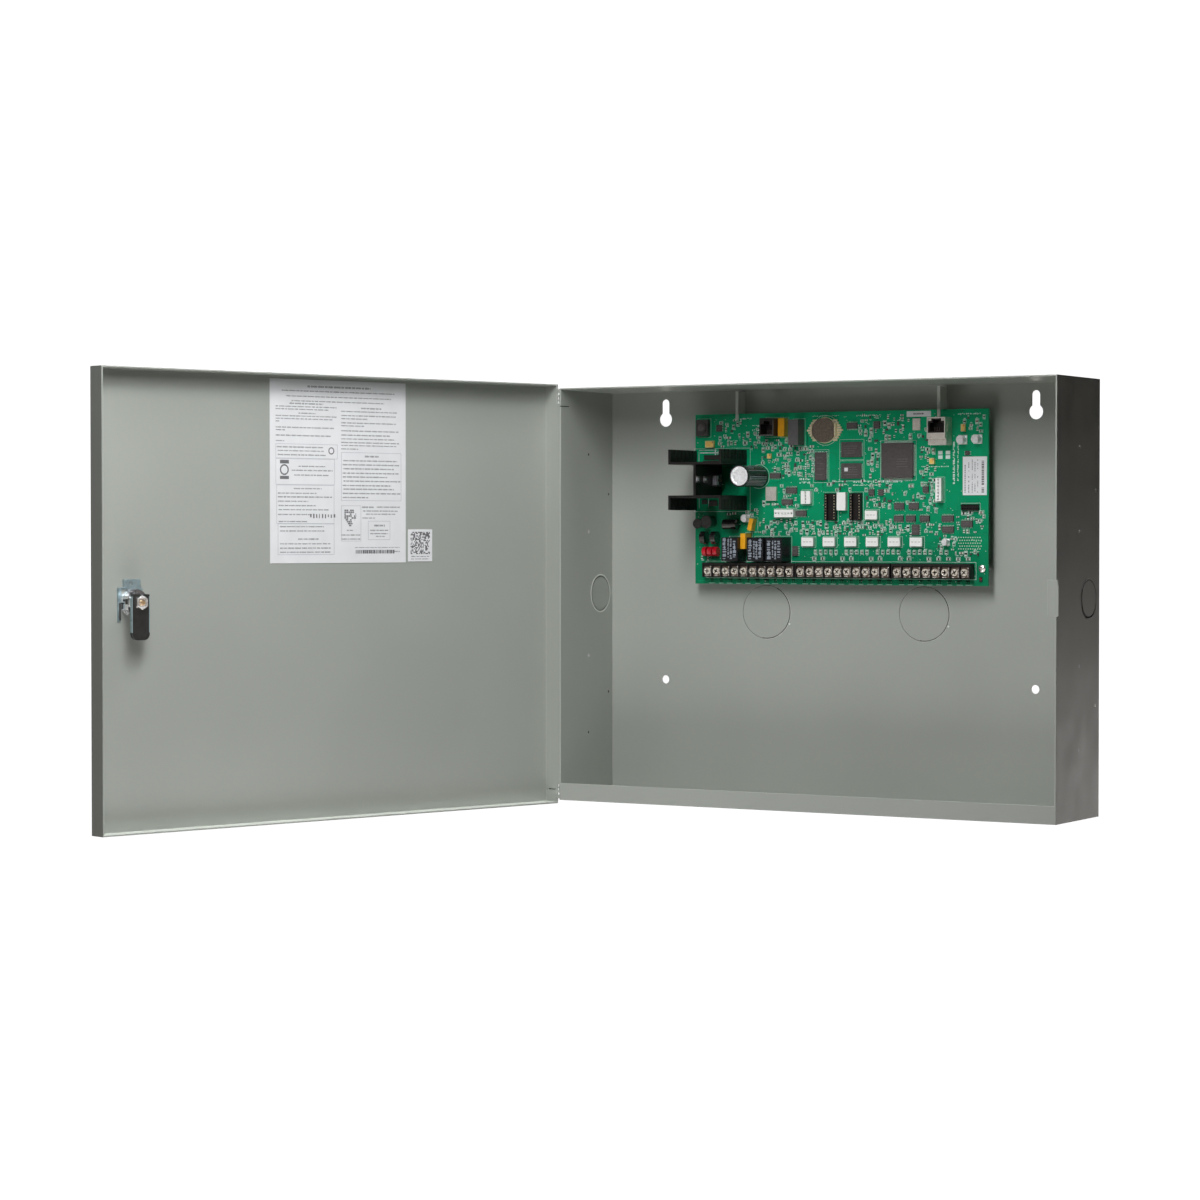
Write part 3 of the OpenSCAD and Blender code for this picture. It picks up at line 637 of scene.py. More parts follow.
# Margins of the marks on each kind of chip: left, below, right, above; then rows and height.
CHIP_MARKS = [("processor", 13, 8, 3, 12, 4, 0.6), ("memory_chips", 1.6, 2.4, 1.6, 2.4, 4, 0.55),
              ("small_chips", 0.8, 0.9, 0.8, 0.9, 2, 0.35)]
for node, left, below, right, above, *rows in CHIP_MARKS:
    for x0, y0, _, x1, y1, top in solids(node):
        mark_rows(chip_marks, x0 + left, y0 + below, x1 - right, y1 - above, top, *rows)
chip_marks.piece("chip_prints", "chip_ink", "grey_plastic")
iso_marks = Shape()
for part in solids("zone_isolators"):
    for k in range(3):
        x = part.x0 + 1.5 + k * 2.9
        iso_marks.bar((x, part.y), (x + uniform(1.6, 2.3), part.y), 0.7, part.h1, part.h1 + INK)
iso_marks.piece("isolator_prints", "faint_print", "grey_plastic")
x0, y0, _, x1, y1, top = solids("memory_chips")[1]
plates(on_board, [(x0 + 3, y1 - 6.6, top, x0 + 6.2, y1 - 3.6, top + 0.08)], "chip_sticker", "paper", "paper")

tabs = Shape()
tab_boxes = solids("power_transistors")
for (x0, y0, h0, x1, y1, h1), inset in zip(tab_boxes, (1.2, 1.5, 1.2)):
    tabs.block(x0 + 0.6, y0 + inset, h1 - SUNK, x1 - 0.4, y1 - inset, h1 + 0.2)
    tabs.block(x1 - SUNK, y0 + inset, h1 - 2.6, x1 + 0.2, y1 - inset, h1 - 0.3)
tabs.piece("transistor_tabs", "dull_tab", "tinned")
x, y = tab_boxes[0].x1, tab_boxes[0].y
plates(on_board, [(x - SUNK, y - 1.1, h - 1.1, x + 0.6, y + 1.1, h + 1.1, 0.3) for h in (9.9, 14.1)],
       "transistor_bolts", "old_nickel", "nickel")

# Dark low blocks as painted shade between the heat sink's wings, and printed lines on the board there.
BAY_SHADE_BLOCKS = [(8.5, 103.6, 23.6, 107.4, 0.9), (7.4, 101.4, 22, 102.9, 0.5), (6.4, 66.4, 11.6, 70.2, 0.8),
             (13.4, 64.8, 21.2, 69.4, 0.9), (23, 64.2, 26.4, 69.8, 0.7)]
BAY_LINES = [(4.6, 108.8, 22.8, 109.8), (3.4, 111.3, 20, 111.7), (18.5, 106.4, 19.6, 112.2),
             (21.2, 105.6, 21.6, 111), (24.6, 102, 25, 111.6), (3.2, 101.2, 3.6, 110.4),
             (5, 100.4, 6.4, 100.7), (2.8, 72.8, 20.6, 73.1), (3.4, 63, 3.8, 71.6), (12.4, 63.6, 12.8, 71)]
plates(on_board, [(x0, y0, 0.02, x1, y1, top, 0.15) for x0, y0, x1, y1, top in BAY_SHADE_BLOCKS],
       "heat_sink_bay_parts", "dull_plate", "chip")
plates(on_board, [(x0, y0, 0, x1, y1, 0.05) for x0, y0, x1, y1 in BAY_LINES],
       "heat_sink_bay_lines", "bay_line", "paper")

x0, y0, _, x1, y1, _ = solids("network_jack_shell")[0]
ridges = [(x0 + 0.6, y0 + 9.3, 13, x1 - 0.6, y0 + 9.6, 13.25, 0.1),
          (x0 + 0.3, y0 + 5.3, 13, x1 - 0.3, y0 + 5.8, 13.2, 0.1)]
latches = [(x, y1 - 2.9, 12.2, x + 2.4, y1 - 1.2, 12.9, 0.2) for x in (x0 + 1.2, x1 - 3.6)]
springs = [(x, y0 + 11, 4, x + 0.25, y0 + 17, 9) for x in (x0 - 0.25, x1)]
plates(on_board, ridges + latches + springs, "network_jack_trim", "steel_shell", "tinned")

standing = Shape()
for part in solids("disc_suppressors") + solids("red_suppressors"):
    for y in (part.y0 + 1.2, part.y1 - 1.2):
        standing.turned(part.x, y, [(0.3, 0), (0.3, part.h0 + 2.4)], 8)
for part in solids("axial_choke"):
    for x in (part.x0 + 0.4, part.x1 - 0.4):
        standing.turned(x, part.y, [(0.4, 0), (0.4, (part.h0 + part.h1) / 2)], 8)
for part in solids("film_capacitors"):
    for t in (0.25, 0.75):
        standing.turned(part.x, part.y0 + (part.y1 - part.y0) * t, [(0.7, 0), (0.5, 0.12), (0.1, 0.3)], 8)
standing.piece("standing_leads", "tin", "tinned")

rims, core, can_faces, stripes = (Shape() for _ in range(4))
coil = solids("power_inductor")[0]
x, y, top = coil.x, coil.y, coil.h1
rims.ring(x, y, 5, 4.65, 4.55, 4.8, 32)
rims.ring(x, y, 3.4, 3.1, top - SUNK, top + 0.1, 32)
core.turned(x, y, [(3, top - SUNK), (3, top + 0.06), (2.2, top + 0.1)], 28)
for part in solids("filter_capacitors"):
    x, y, r, top = part.x, part.y, part.r, part.h1
    rims.ring(x, y, r - 0.1, r - 0.7, top - SUNK, top + 0.25, 28)
    can_faces.turned(x, y, [(r - 0.75, top - SUNK), (r - 0.9, top + 0.12), (0.3, top + 0.12)], 28)
for part in solids("small_cans"):
    arc = [around(part.x, part.y, (part.r - 0.2) * 0.95, a) for a in np.linspace(-0.75, 0.75, 9)]
    stripes.loft([[(*point, h) for point in arc] for h in (part.h1 - 0.01, part.h1 + 0.05)])
rims.piece("coil_rims", "dark_can", "ferrite")
core.piece("coil_core_face", "coil_face", "ferrite")
can_faces.piece("filter_can_faces", "dark_can", "can")
stripes.piece("small_can_stripes", "pale_print", "grey_plastic")

tantalum_ends, tantalum_bands = Shape(), Shape()
for x0, y0, h0, x1, y1, h1 in solids("tantalum_capacitors"):
    tantalum_ends.outline(x0 + 0.2, y0 + 0.2, x1 - 0.2, y1 - 0.2, 0.45, h1 - SUNK, h1 + 0.06)
    tantalum_bands.block(x1 - 1.3, y1 - 1.9, h1 - SUNK, x1 - 0.5, y1 - 0.5, h1 + 0.08)
tantalum_ends.piece("tantalum_rims", "cream_rim", "tinned")
tantalum_bands.piece("tantalum_bands", "rust_band", "red")

plates(on_board, [(259.2, 3.4, 0, 261.8, 7.4, 1.1, 0.3)], "status_light", "gloss_black", "red")
lens = Shape()
lens.turned(260.6, 5.6, [(0.95, 1.08), (0.95, 1.3), (0.6, 1.55)], 20)
lens.piece("status_light_lens", "red_lens", "red")

# ---------------- board: small parts, tracks and marks

BOARD_NODES = [n for n in NODES if NODES[n].get("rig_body") == "cabinet" and n not in (
    "cabinet_box", "back_knockouts", "side_knockouts", "hinge_pins", "hinge_spacers", "board_hangers",
    "board_posts", "circuit_board", "processor_leads", "memory_leads", "terminal_clamps", "terminal_screws")]
taken = [(part.x0, part.y0, part.x1, part.y1) for node in BOARD_NODES for part in solids(node)]
# Beside the upright label only the printed lines stand.
LABEL_GAP = (234.5, 80, 243, 118)
taken.append(LABEL_GAP)
BOARD_W, BOARD_H = (board_high.x - board_low.x) / MM, (board_high.z - board_low.z) / MM


def free(x0, y0, x1, y1, gap=0.5):
    if x0 < 1 or y0 < 1 or x1 > BOARD_W - 1 or y1 > BOARD_H - 1:
        return False
    return all(x1 + gap < a or x0 - gap > c or y1 + gap < b or y0 - gap > d for a, b, c, d in taken)


dark_bodies, pale_bodies, ends, sot, silk = (Shape() for _ in range(5))
SILK = 0.035


def small_part(x, y, long, short, upright, body, height, framed):
    """A surface-mounted part with two plated ends, and its printed outline if framed."""
    w, h = (short, long) if upright else (long, short)
    cap = 0.27 * long

    def stretch(shape, a, b, proud, h0, h1, chamfer):
        """The part's length from a to b, standing proud at the sides."""
        if upright:
            shape.block(x - proud, y + a, h0, x + w + proud, y + b, h1, chamfer)
        else:
            shape.block(x + a, y - proud, h0, x + b, y + h + proud, h1, chamfer)

    stretch(body, cap, long - cap, 0, 0.03, height, 0.06)
    for a in (-0.2, long - cap):
        stretch(ends, a, a + cap + 0.2, 0.05, 0.02, height + 0.03, 0.08)
    taken.append((x, y, x + w, y + h))
    if framed:
        silk.outline(x - 0.6, y - 0.6, x + w + 0.6, y + h + 0.6, 0.26, 0, SILK)


# Rows beside the terminals: matched pairs, then single parts.
for i in range(4):
    for x in (110.4 + 25.9 * i, 118.3 + 25.9 * i):
        small_part(x, 20.6, 2.6, 1.7, False, dark_bodies, 0.7, True)
for i in range(5):
    small_part(213.6 + 8.6 * i, 20.6, 2.6, 1.7, False, dark_bodies, 0.7, True)
for i in range(26):
    x = 112.0 + 4.7 * i
    if free(x, 25.6, x + 1.6, 28.2, 0.4) and i % 6 != 5:
        small_part(x, 25.6, 2.4, 1.5, True, dark_bodies if i % 3 else pale_bodies, 0.7, True)

# Where small parts crowd: x0, y0, x1, y1 and how many are tried.
CROWDS = [(62, 88, 112, 121, 260), (64, 60, 100, 82, 60), (22, 112, 62, 138, 44), (150, 116, 218, 139, 90),
          (98, 40, 178, 53, 190), (178, 40, 228, 53, 70), (206, 58, 222, 112, 80), (222, 28, 240, 46, 50),
          (150, 60, 184, 88, 50), (236, 24, 262, 28, 20), (236, 41, 264, 60, 50),
          (60, 40, 98, 54, 60), (160, 86, 172, 112, 30), (132, 60, 146, 90, 20), (244, 120, 264, 138, 20),
          (28, 56, 60, 64, 22), (26, 76, 50, 96, 26), (104, 76, 136, 86, 14), (4, 18, 32, 24, 8),
          (190, 60, 222, 82, 40), (246, 8, 258, 24, 10)]
for zx0, zy0, zx1, zy1, tries in CROWDS:
    for _ in range(tries):
        long, short = choice(((1.8, 1.1), (2.2, 1.4), (2.2, 1.4), (3.2, 1.8)))
        upright = chance() < 0.5
        w, h = (short, long) if upright else (long, short)
        x = round(uniform(zx0, max(zx0, zx1 - w)) / 0.635) * 0.635
        y = round(uniform(zy0, max(zy0, zy1 - h)) / 0.635) * 0.635
        if not free(x, y, x + w, y + h, 0.75):
            continue
        kind = chance()
        if kind > 0.9:
            taken.append((x, y, x + w, y + h))
            sot.block(x, y, 0.1, x + w, y + h, 1, 0.12)
            continue
        body = dark_bodies if kind < 0.5 else pale_bodies
        small_part(x, y, long, short, upright, body, 0.6 if kind < 0.5 else 0.85, chance() < 0.6)
dark_bodies.piece("resistor_bodies", "resistor", "chip")
pale_bodies.piece("ceramic_bodies", "ceramic", "ochre")
ends.piece("small_part_ends", "tin", "tinned")
sot.piece("small_transistors", "epoxy", "chip")


def frame_mark(x0, y0, x1, y1, gap=0.7, width=0.24):
    silk.outline(x0 - gap, y0 - gap, x1 + gap, y1 + gap, width, 0, SILK)


def print_line(x, y, run, height, upright=False):
    """A line of plain blocks, standing for printed words, running right or up."""
    at = 0.0
    while at < run:
        step = min(uniform(0.45, 1.3), run - at)
        low, high = choice(((-0.5, 0.5), (-0.5, 0.5), (-0.5, 0.1), (0, 0.5)))
        if upright:
            silk.block(x + low * height, y + at, 0, x + high * height, y + at + step, SILK)
        else:
            silk.block(x + at, y + low * height, 0, x + at + step, y + high * height, SILK)
        at += step + choice((0.35, 0.5, 0.9))


for node in ("output_relays", "zone_isolators", "white_headers", "phone_jack", "line_relay", "processor",
             "memory_chips", "chip_sockets", "black_header", "power_inductor", "film_capacitors"):
    grow = 2.0 if node in ("processor", "memory_chips") else 0.9
    for x0, y0, _, x1, y1, _ in solids(node):
        frame_mark(x0, y0, x1, y1, grow)
frame_mark(-0.4, 60.6, 51.6, 112.4, 0.4, 0.3)
strips = solids("terminal_blocks")
frame_mark(strips[0][0] - 0.6, strips[0][1] - 0.4, strips[-1][3] + 1.2, 18.6, 0.3, 0.3)
silk.ring(cell.x, cell.y, 12.4, 12.1, 0, SILK, 48)
silk.ring(can.x, can.y, can.r + 1.4, can.r + 1.1, 0, SILK, 40)
for x0, y0, x1, y1 in list(taken):
    if x1 - x0 < 3.4 and chance() < 0.7:
        y = y1 + 1.15 if chance() < 0.5 else y0 - 1.15
        for k in range(choice((2, 3))):
            tall = choice((0.5, 0.9, 0.9)) / 2
            silk.block(x0 + k * 0.95, y - tall, 0, x0 + k * 0.95 + 0.6, y + tall, SILK)
for x, y, run, height in ((147, 84, 44, 1.5), (147, 81.2, 26, 0.9), (128, 84.4, 14, 0.9), (100, 110.6, 8, 1),
                          (186, 84.6, 14, 0.9), (150, 137.6, 22, 1.2), (37, 137.2, 16, 1.2),
                          (240, 137.4, 20, 1.1), (54, 131, 8, 1.4), (54, 127.4, 8, 1.4), (112, 108.6, 12, 1),
                          (98, 86.6, 10, 1.5), (98, 83.8, 10, 1.5), (208, 95.6, 24, 0.8),
                          (110, 138, 24, 0.8)):
    print_line(x, y, run, height)
for x, y, run, height in ((236.6, 81.5, 34, 1.7), (240.2, 84, 30, 1.1), (103.6, 88, 20, 1.2),
                          (109.4, 90, 18, 0.9)):
    print_line(x, y, run, height, True)
for x in (222.8, 229.4):
    for y in (101.6, 105.2):
        silk.block(x, y, 0, x + 3.9, y + 2.9, 0.05)
silk.piece("silkscreen_marks", "silkscreen", "paper")

terminals = solids("terminal_clamps")
# Printed ticks, the terminal blocks' painted shadow on the board below them, and pale dashes at the board's
# edge.
ticks, patches, edge_dashes = (Shape() for _ in range(3))
for clamp in terminals:
    x = clamp.x
    for k in range(3):
        ticks.bar((x - 2.2 + k * 1.7, 2.6), (x - 1.2 + k * 1.7, 2.6), choice((1.4, 1.9, 0.9)), 0, SILK)
    patches.block(x - 1.6 + uniform(-0.8, 0.8), 1.5, 0, x + 1.8 + uniform(-0.8, 0.8), 4.6, 0.02)
    edge_dashes.block(x - 3.2 + uniform(0, 1.5), 0.25, 0, x + 2.2 + uniform(0, 1.2), 1, SILK)
ticks.piece("terminal_marks", "trace", "board")
patches.piece("terminal_painted_shadows", "painted_shadow_mask", "board")
edge_dashes.piece("board_edge_dashes", "pale_mask", "paper")

# Painted shade in the screws' cross slots, and painted highlights, partly rubbed metal, on the screw heads
# and the clamps' edges.
slots, highlighted_and_rubbed = Shape(), Shape()
for screw in solids("terminal_screws"):
    x, y, angle = screw.x, screw.y, uniform(0, pi)
    for turn in (angle, angle + pi / 2):
        slots.bar(around(x, y, -2, turn), around(x, y, 2, turn), 0.85, screw.h1 - SUNK, screw.h1 + 0.03)
    highlighted_and_rubbed.ring(x, y, 2.55, 2.1, screw.h1 - SUNK, screw.h1 + 0.05, 20, angle, angle + uniform(1.5, 3.5))
for x0, y0, h0, x1, y1, h1 in terminals:
    y = y0 + uniform(0.2, 1.6)
    while y < y1 - 1.0:
        run = uniform(0.9, 2.8)
        highlighted_and_rubbed.block(x1 - 0.95, y, h1 - SUNK, x1 - 0.05, min(y + run, y1 - 0.1), h1 + 0.08)
        y += run + uniform(0.5, 1.4)
    left, right = x0 + uniform(0.1, 0.6), x0 + uniform(2.2, 4.6)
    highlighted_and_rubbed.block(left, y0 + 0.1, h0 + 0.78, right, y0 + 0.8, h0 + 0.86)
slots.piece("terminal_screw_slot_shades", "painted_slot_shade", "nickel")
highlighted_and_rubbed.piece("terminal_edge_highlights", "bright_nickel", "nickel")

pads = Shape()
for i in range(10):
    for j in range(5):
        pads.turned(241.0 + i * 2.05 + (j % 2), 29.6 + j * 2.3, [(0.5, 0), (0.46, 0.09), (0.25, 0.12)], 10)
for _ in range(520):
    x, y = uniform(2, BOARD_W - 2), uniform(2, BOARD_H - 2)
    if free(x - 0.3, y - 0.3, x + 0.3, y + 0.3, 0.25):
        pads.turned(x, y, [(0.34, 0), (0.3, 0.05), (0.12, 0.02)], 8)
pads.piece("plated_pads", "tin", "tinned")

tracks = Shape()
for _ in range(260):
    x, y = uniform(4, BOARD_W - 4), uniform(4, BOARD_H - 4)
    width = choice((0.22, 0.22, 0.3, 0.6))
    direction = choice((0, 2, 4, 6))
    for _ in range(choice((2, 3, 4))):
        reach = uniform(3, 22) if direction % 2 == 0 else uniform(1.5, 5)
        nx, ny = around(x, y, reach, direction * pi / 4)
        nx, ny = min(max(nx, 1.5), BOARD_W - 1.5), min(max(ny, 1.5), BOARD_H - 1.5)
        if hypot(nx - x, ny - y) > 0.5:
            tracks.bar((x, y), (nx, ny), width, 0, 0.02)
        x, y, direction = nx, ny, (direction + choice((-1, 1))) % 8
tracks.piece("copper_tracks", "trace", "board")

# Columns of marks on the upright label: distance from its left edge, width, and how full they are.
LABEL_COLUMNS = [(2, 0.8, 0.95), (5.2, 0.7, 0.65), (8.2, 0.6, 0.65), (10.6, 0.6, 0.65), (13, 0.5, 0.65),
                 (17.4, 2.1, 0.95)]
label_ink = Shape()
for x0, y0, _, x1, y1, top in solids("board_labels"):
    if x1 - x0 > y1 - y0:
        mark_rows(label_ink, x0 + 5, y0 + 1.4, x1 - 4, y1 - 1.2, top, 1, 1.3)
    else:
        for at, wide, filled in LABEL_COLUMNS:
            y = y0 + 2.0
            while y < y1 - 2.4:
                step = uniform(0.5, 1.5)
                if chance() < filled:
                    label_ink.bar((x0 + at, y), (x0 + at, y + step), wide, top, top + INK)
                y += step + 0.5
label_ink.piece("board_label_marks", "ink", "chip")

# ---------------- cabinet

BACK_KNOCKOUTS, BACK_KNOCKOUT_R = ((-72, -14.4), (72, -14.4)), 22.4
SIDE_KNOCKOUT, SIDE_KNOCKOUT_R = (-21.2, 0), 15.2
knockout_shades, knockout_highlights, nub_highlights = (Shape(in_cabinet) for _ in range(3))
# Painted shade in each cut gap and along one side of it, painted highlight along the other side, and a nub
# painted as a highlight.
for x, y in BACK_KNOCKOUTS:
    knockout_shades.ring(x, y, BACK_KNOCKOUT_R, 22, -1.05, -0.3, 72)
    knockout_shades.ring(x, y, 22.15, 21.65, -0.35, 0.04, 48, radians(-100), radians(64))
    knockout_highlights.ring(x, y, 22.8, 22.35, -0.35, 0.04, 48, radians(-95), radians(50))
    nub_highlights.turned(x + 21.4, y - 9.9, [(0.9, -0.3), (0.9, 0.1), (0.5, 0.3)], 12)
knockout_shades.piece("back_knockout_painted_shades", "dark_gap", "cabinet")
knockout_highlights.piece("back_knockout_painted_highlights", "painted_light_paint", "cabinet")
nub_highlights.piece("back_knockout_nub_highlights", "rim_paint", "cabinet")

right_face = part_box("cabinet_box")[1].x


def on_right_wall(y, z, h):
    """Millimetres forward of the back and up, and outward from the right wall's outer face."""
    return right_face + h * MM, y * MM, z * MM


def on_left_wall(y, z, h):
    """Millimetres forward of the back and up, and inward from the left wall's inner face."""
    return -right_face + (SHEET + h) * MM, y * MM, z * MM


# The side walls' pilot holes, and which of them show a painted highlight lining rather than a painted shade
# plug.
PILOT_HOLES = [(-40.7, 117.3), (-40.7, -117.3), (-40.7, 52.2), (-40.7, -52.2), (-7.7, 84.2), (-7.7, -84.2)]
HIGHLIGHTED_HOLES = {"right": PILOT_HOLES, "left": [(-40.7, 52.2), (-40.7, -52.2)]}
# Each wall gets painted shade in the side knockout's gap, a painted highlight around it (on the right wall
# only its left arc), painted highlights lining some pilot holes and painted shade plugging the others.
for name, place, highlight_look in (("right", on_right_wall, "glint"), ("left", on_left_wall, "rim_paint")):
    side_knockout_shade = Shape(place)
    side_knockout_shade.ring(*SIDE_KNOCKOUT, SIDE_KNOCKOUT_R, 14.8, -0.9, -0.3, 60)
    side_knockout_shade.ring(*SIDE_KNOCKOUT, 14.9, 14.1, -0.3, 0, 60)
    side_knockout_shade.piece(name + "_knockout_painted_shade", "dark_gap", "cabinet")
    rims = Shape(place)
    proud, start, end = (0, radians(105), radians(255)) if name == "right" else (0.1, 0, 2 * pi)
    rims.ring(*SIDE_KNOCKOUT, 16.2, 15, -0.3, proud, 60, start, end)
    rims.piece(name + "_knockout_painted_highlight", highlight_look, "cabinet")
    hole_highlights, hole_shades = Shape(place), Shape(place)
    for y, z in PILOT_HOLES:
        if (y, z) in HIGHLIGHTED_HOLES[name]:
            hole_highlights.ring(y, z, 1.29, 0.95, -1.1, 0, 20)
            hole_highlights.turned(y, z, [(0.97, -0.7), (0.97, -0.45)], 20)
        else:
            hole_shades.turned(y, z, [(1.27, -0.8), (1.27, -0.15)], 20)
    hole_highlights.piece(name + "_pilot_hole_painted_highlights", "glint", "cabinet")
    if hole_shades.points:
        hole_shades.piece(name + "_pilot_hole_shades", "dark_gap", "cabinet")

# ---------------- door: labels


def dashes(shape, u0, u1, v, tall=1.0):
    """One line of generic print: word-like runs of short upright ticks."""
    u = u0
    while u < u1:
        stop = min(u1, u + uniform(1.6, 6.5))
        while u < stop:
            tick = uniform(0.3, 0.55)
            rise = tall * uniform(0.62, 1)
            shape.block(u, v - rise / 2, 0, min(u + tick, u1), v + rise / 2, INK)
            u += tick + 0.24
        u += 0.75


# Lines of the instruction sheet: left, right, distance from the top, and height where it isn't 1.
LINES = [(36.4, 99.2, 5.3, 1.7), (11.6, 123.3, 9), (15.6, 120, 13.2), (21, 113, 16.9), (19, 51.7, 19, 1.4),
         (5.6, 65, 21.4), (5.6, 57, 23.5), (27.7, 44.4, 26.5, 1.2), (5.6, 65, 28.8), (5.6, 61, 31),
         (5.6, 9, 33.1), (5.6, 63, 37.8, 1.1), (5.6, 15, 39.9), (5.6, 59, 44.1, 1.2), (5.6, 13.6, 48.4),
         (6.6, 51.5, 53.2, 1.2), (7.6, 53, 56.1), (7.6, 54, 59.3, 1.2), (27.6, 53.7, 68.2, 1.1),
         (21, 61, 71.4, 1.1), (23.6, 57.2, 75.1, 1.1), (23, 50.3, 85.7, 1.1), (7.6, 45, 89.4),
         (7.6, 60.4, 92.3, 1.2), (7.6, 37, 95.7), (8.3, 44.4, 99.1, 1.1), (8.3, 57, 102.3),
         (7.6, 40.4, 106.1, 1.1), (8.3, 35.7, 111.6, 1.1), (9.6, 52.4, 115.6, 1.1), (9.6, 53.7, 119, 1.1),
         (27, 47.7, 125.4, 1.3), (9.6, 59, 129.1), (9.6, 59, 132.5, 1.2), (9.6, 59, 135.7, 1.1),
         (89.8, 110, 21.2, 1.3), (69.8, 126, 24), (69.8, 124.6, 27.3, 1.1), (69.8, 95.9, 29.8),
         (69.8, 125.3, 33.1, 1.1), (69.8, 92.5, 35.4), (69.8, 127.3, 39.4, 1.1), (69.8, 118.6, 42.8, 1.2),
         (69.8, 124, 45.8), (69.8, 128, 48.7, 1.1), (69.8, 125.3, 51), (69.8, 86.5, 53.8),
         (93.2, 107.2, 59.5, 1.6), (71.8, 126, 63.1, 1.2), (71.1, 128, 66.3, 1.2), (71.8, 122.6, 69.5, 1.2),
         (71.1, 127.3, 73, 1.2), (71.1, 115.9, 76, 1.2), (71.8, 129.3, 79.3, 1.2), (71.1, 120, 82.8, 1.2),
         (71.8, 122.6, 85.7, 1.2), (71.1, 129.3, 89.1, 1.2), (71.1, 96.5, 92.3, 1.2),
         (90.5, 101.9, 100, 1.6), (105.2, 128.6, 99.8, 1.1), (91.2, 126.6, 103), (94.5, 124, 105.5),
         (90.5, 103.2, 108.6), (102.6, 113.3, 114.6, 1.7), (98.6, 116.6, 118.5, 1.1),
         (98.6, 116.6, 121.1, 1.1), (104.6, 113.3, 123.3), (75.2, 81.2, 118.5), (69.8, 88.5, 122.2),
         (69.8, 88.5, 125.4), (83.2, 128.6, 132.2, 0.7), (123.3, 128.6, 135.4)]
BOXES = [(5.6, 50.8, 65.8, 61.9), (5.6, 62.4, 63, 82.5), (6.4, 83, 62.4, 113.4), (7.6, 113.2, 62.4, 137.6),
         (69.8, 56.6, 130, 94.7), (69.8, 98.9, 89.2, 127), (96.6, 111.1, 118.6, 125.9)]
sheet_ink = Shape(on_sheet)
for line in LINES:
    dashes(sheet_ink, *line)
sheet_ink.piece("instruction_lines", "ink", "chip", "door")

rules = Shape(on_sheet)
for u0, v0, u1, v1 in BOXES:
    rules.outline(u0, v0, u1, v1, 0.22, 0, INK)
rules.piece("instruction_frames", "grey_ink", "grey_plastic", "door")

signs = Shape(on_sheet)
signs.ring(13.8, 71.0, 4.3, 3.1, 0, 0.04, 32)
signs.block(9.6, 63.4, 0, 18.2, 66.2, 0.04)
signs.block(9.6, 75.9, 0, 18.2, 78.4, 0.04)
signs.ring(59.8, 55.6, 2.9, 2.0, 0, 0.04, 24)
for row in range(9):
    half = 5.8 if row < 5 else 5.8 - (row - 4) * 1.15
    u = 78.5 - half
    while u < 78.5 + half:
        step = uniform(0.8, 2.6)
        if chance() < 0.78:
            signs.block(u, 102 + row * 1.5, 0, min(u + step, 78.5 + half), 103.2 + row * 1.5, 0.04)
        u += step + 0.35
u = 84.0
while u < 121.6:
    step = choice((0.45, 0.8, 1.2, 1.9))
    signs.block(u, 134.1, 0, u + step, 137.0, 0.04)
    u += step + choice((0.35, 0.5, 0.9))
for k in range(9):
    signs.block(38.8 + k * 2.9, 106.3 - uniform(0.3, 1.0), 0, 38.8 + k * 2.9 + uniform(0.6, 1.6),
                108.4 + uniform(-0.4, 0.6), 0.04)
signs.piece("instruction_signs", "ink", "chip", "door")

dots = Shape(on_code)
CELL = 0.95
for row in range(19):
    for column in range(21):
        if chance() < 0.52:
            u, v = 2.5 + column * CELL, 2.0 + row * CELL
            dots.block(u, v, 0, u + CELL, v + CELL, 0.04)
dashes(dots, 3, 21.6, 22)
dashes(dots, 3, 21.6, 24, 0.8)
dots.piece("square_label_dots", "ink", "chip", "door")

# ---------------- door: lock

BARREL_R, FLAT = 9.5, 8
FLAT_ANGLE = acos(FLAT / BARREL_R)
CAM_BACK, CAM_FACE = 13.2, 15.4
THREAD_PITCH = 1.65
threads = Shape(on_lock)
for k in range(5):
    h = 1.9 + k * THREAD_PITCH
    for start in (FLAT_ANGLE, FLAT_ANGLE + pi):
        end = start + pi - 2 * FLAT_ANGLE
        threads.ring(0, 0, BARREL_R + 0.35, BARREL_R - 0.2, h, h + 0.8, 24, start, end)
threads.piece("lock_threads", "chrome", "chrome", "door")
stud = Shape(on_lock)
stud.ring(0, 0, 2.75, 2.35, CAM_FACE + 2.35, CAM_FACE + 2.6, 28)
stud.turned(0, 0, [(1.9, CAM_FACE + 3.2), (1.9, CAM_FACE + 3.35), (1.6, CAM_FACE + 3.45)], 24)
stud.piece("cam_stud_end", "brass", "nickel", "lock_cam_and_plug")
# Painted highlights on two sides of the nut's chamfer.
NUT_CORNERS = [(-1.4, -4.7), (1.4, -4.7), (4, -3.1), (-4, -3.1)]
nut_lights = Shape(on_lock)
for way in (1, -1):
    nut_lights.loft([[(x * (1 - cut), way * (y + cut * 0.3), h) for x, y in NUT_CORNERS]
                     for h, cut in ((CAM_FACE + 2.38, 0), (CAM_FACE + 2.5, 0.12))])
nut_lights.piece("nut_corner_glints", "glint", "nickel", "lock_cam_and_plug")
# Painted highlights and painted shades on the barrel's flat: from y0, h0 to y1, h1.
FLAT_GLINTS = [(-4.8, 0.6, 0, 3), (-4.9, 6.9, -3, 9.8), (-4.6, 3.6, -2.6, 6.6), (2.8, 6.6, 4.9, 9.9)]
FLAT_SHADES = [(-2.6, 6.6, 1.4, 9.9), (0.3, 1.2, 1.2, 5.4), (-2.2, 3.4, -0.6, 6.2), (-5, 3, -4.7, 9.9)]
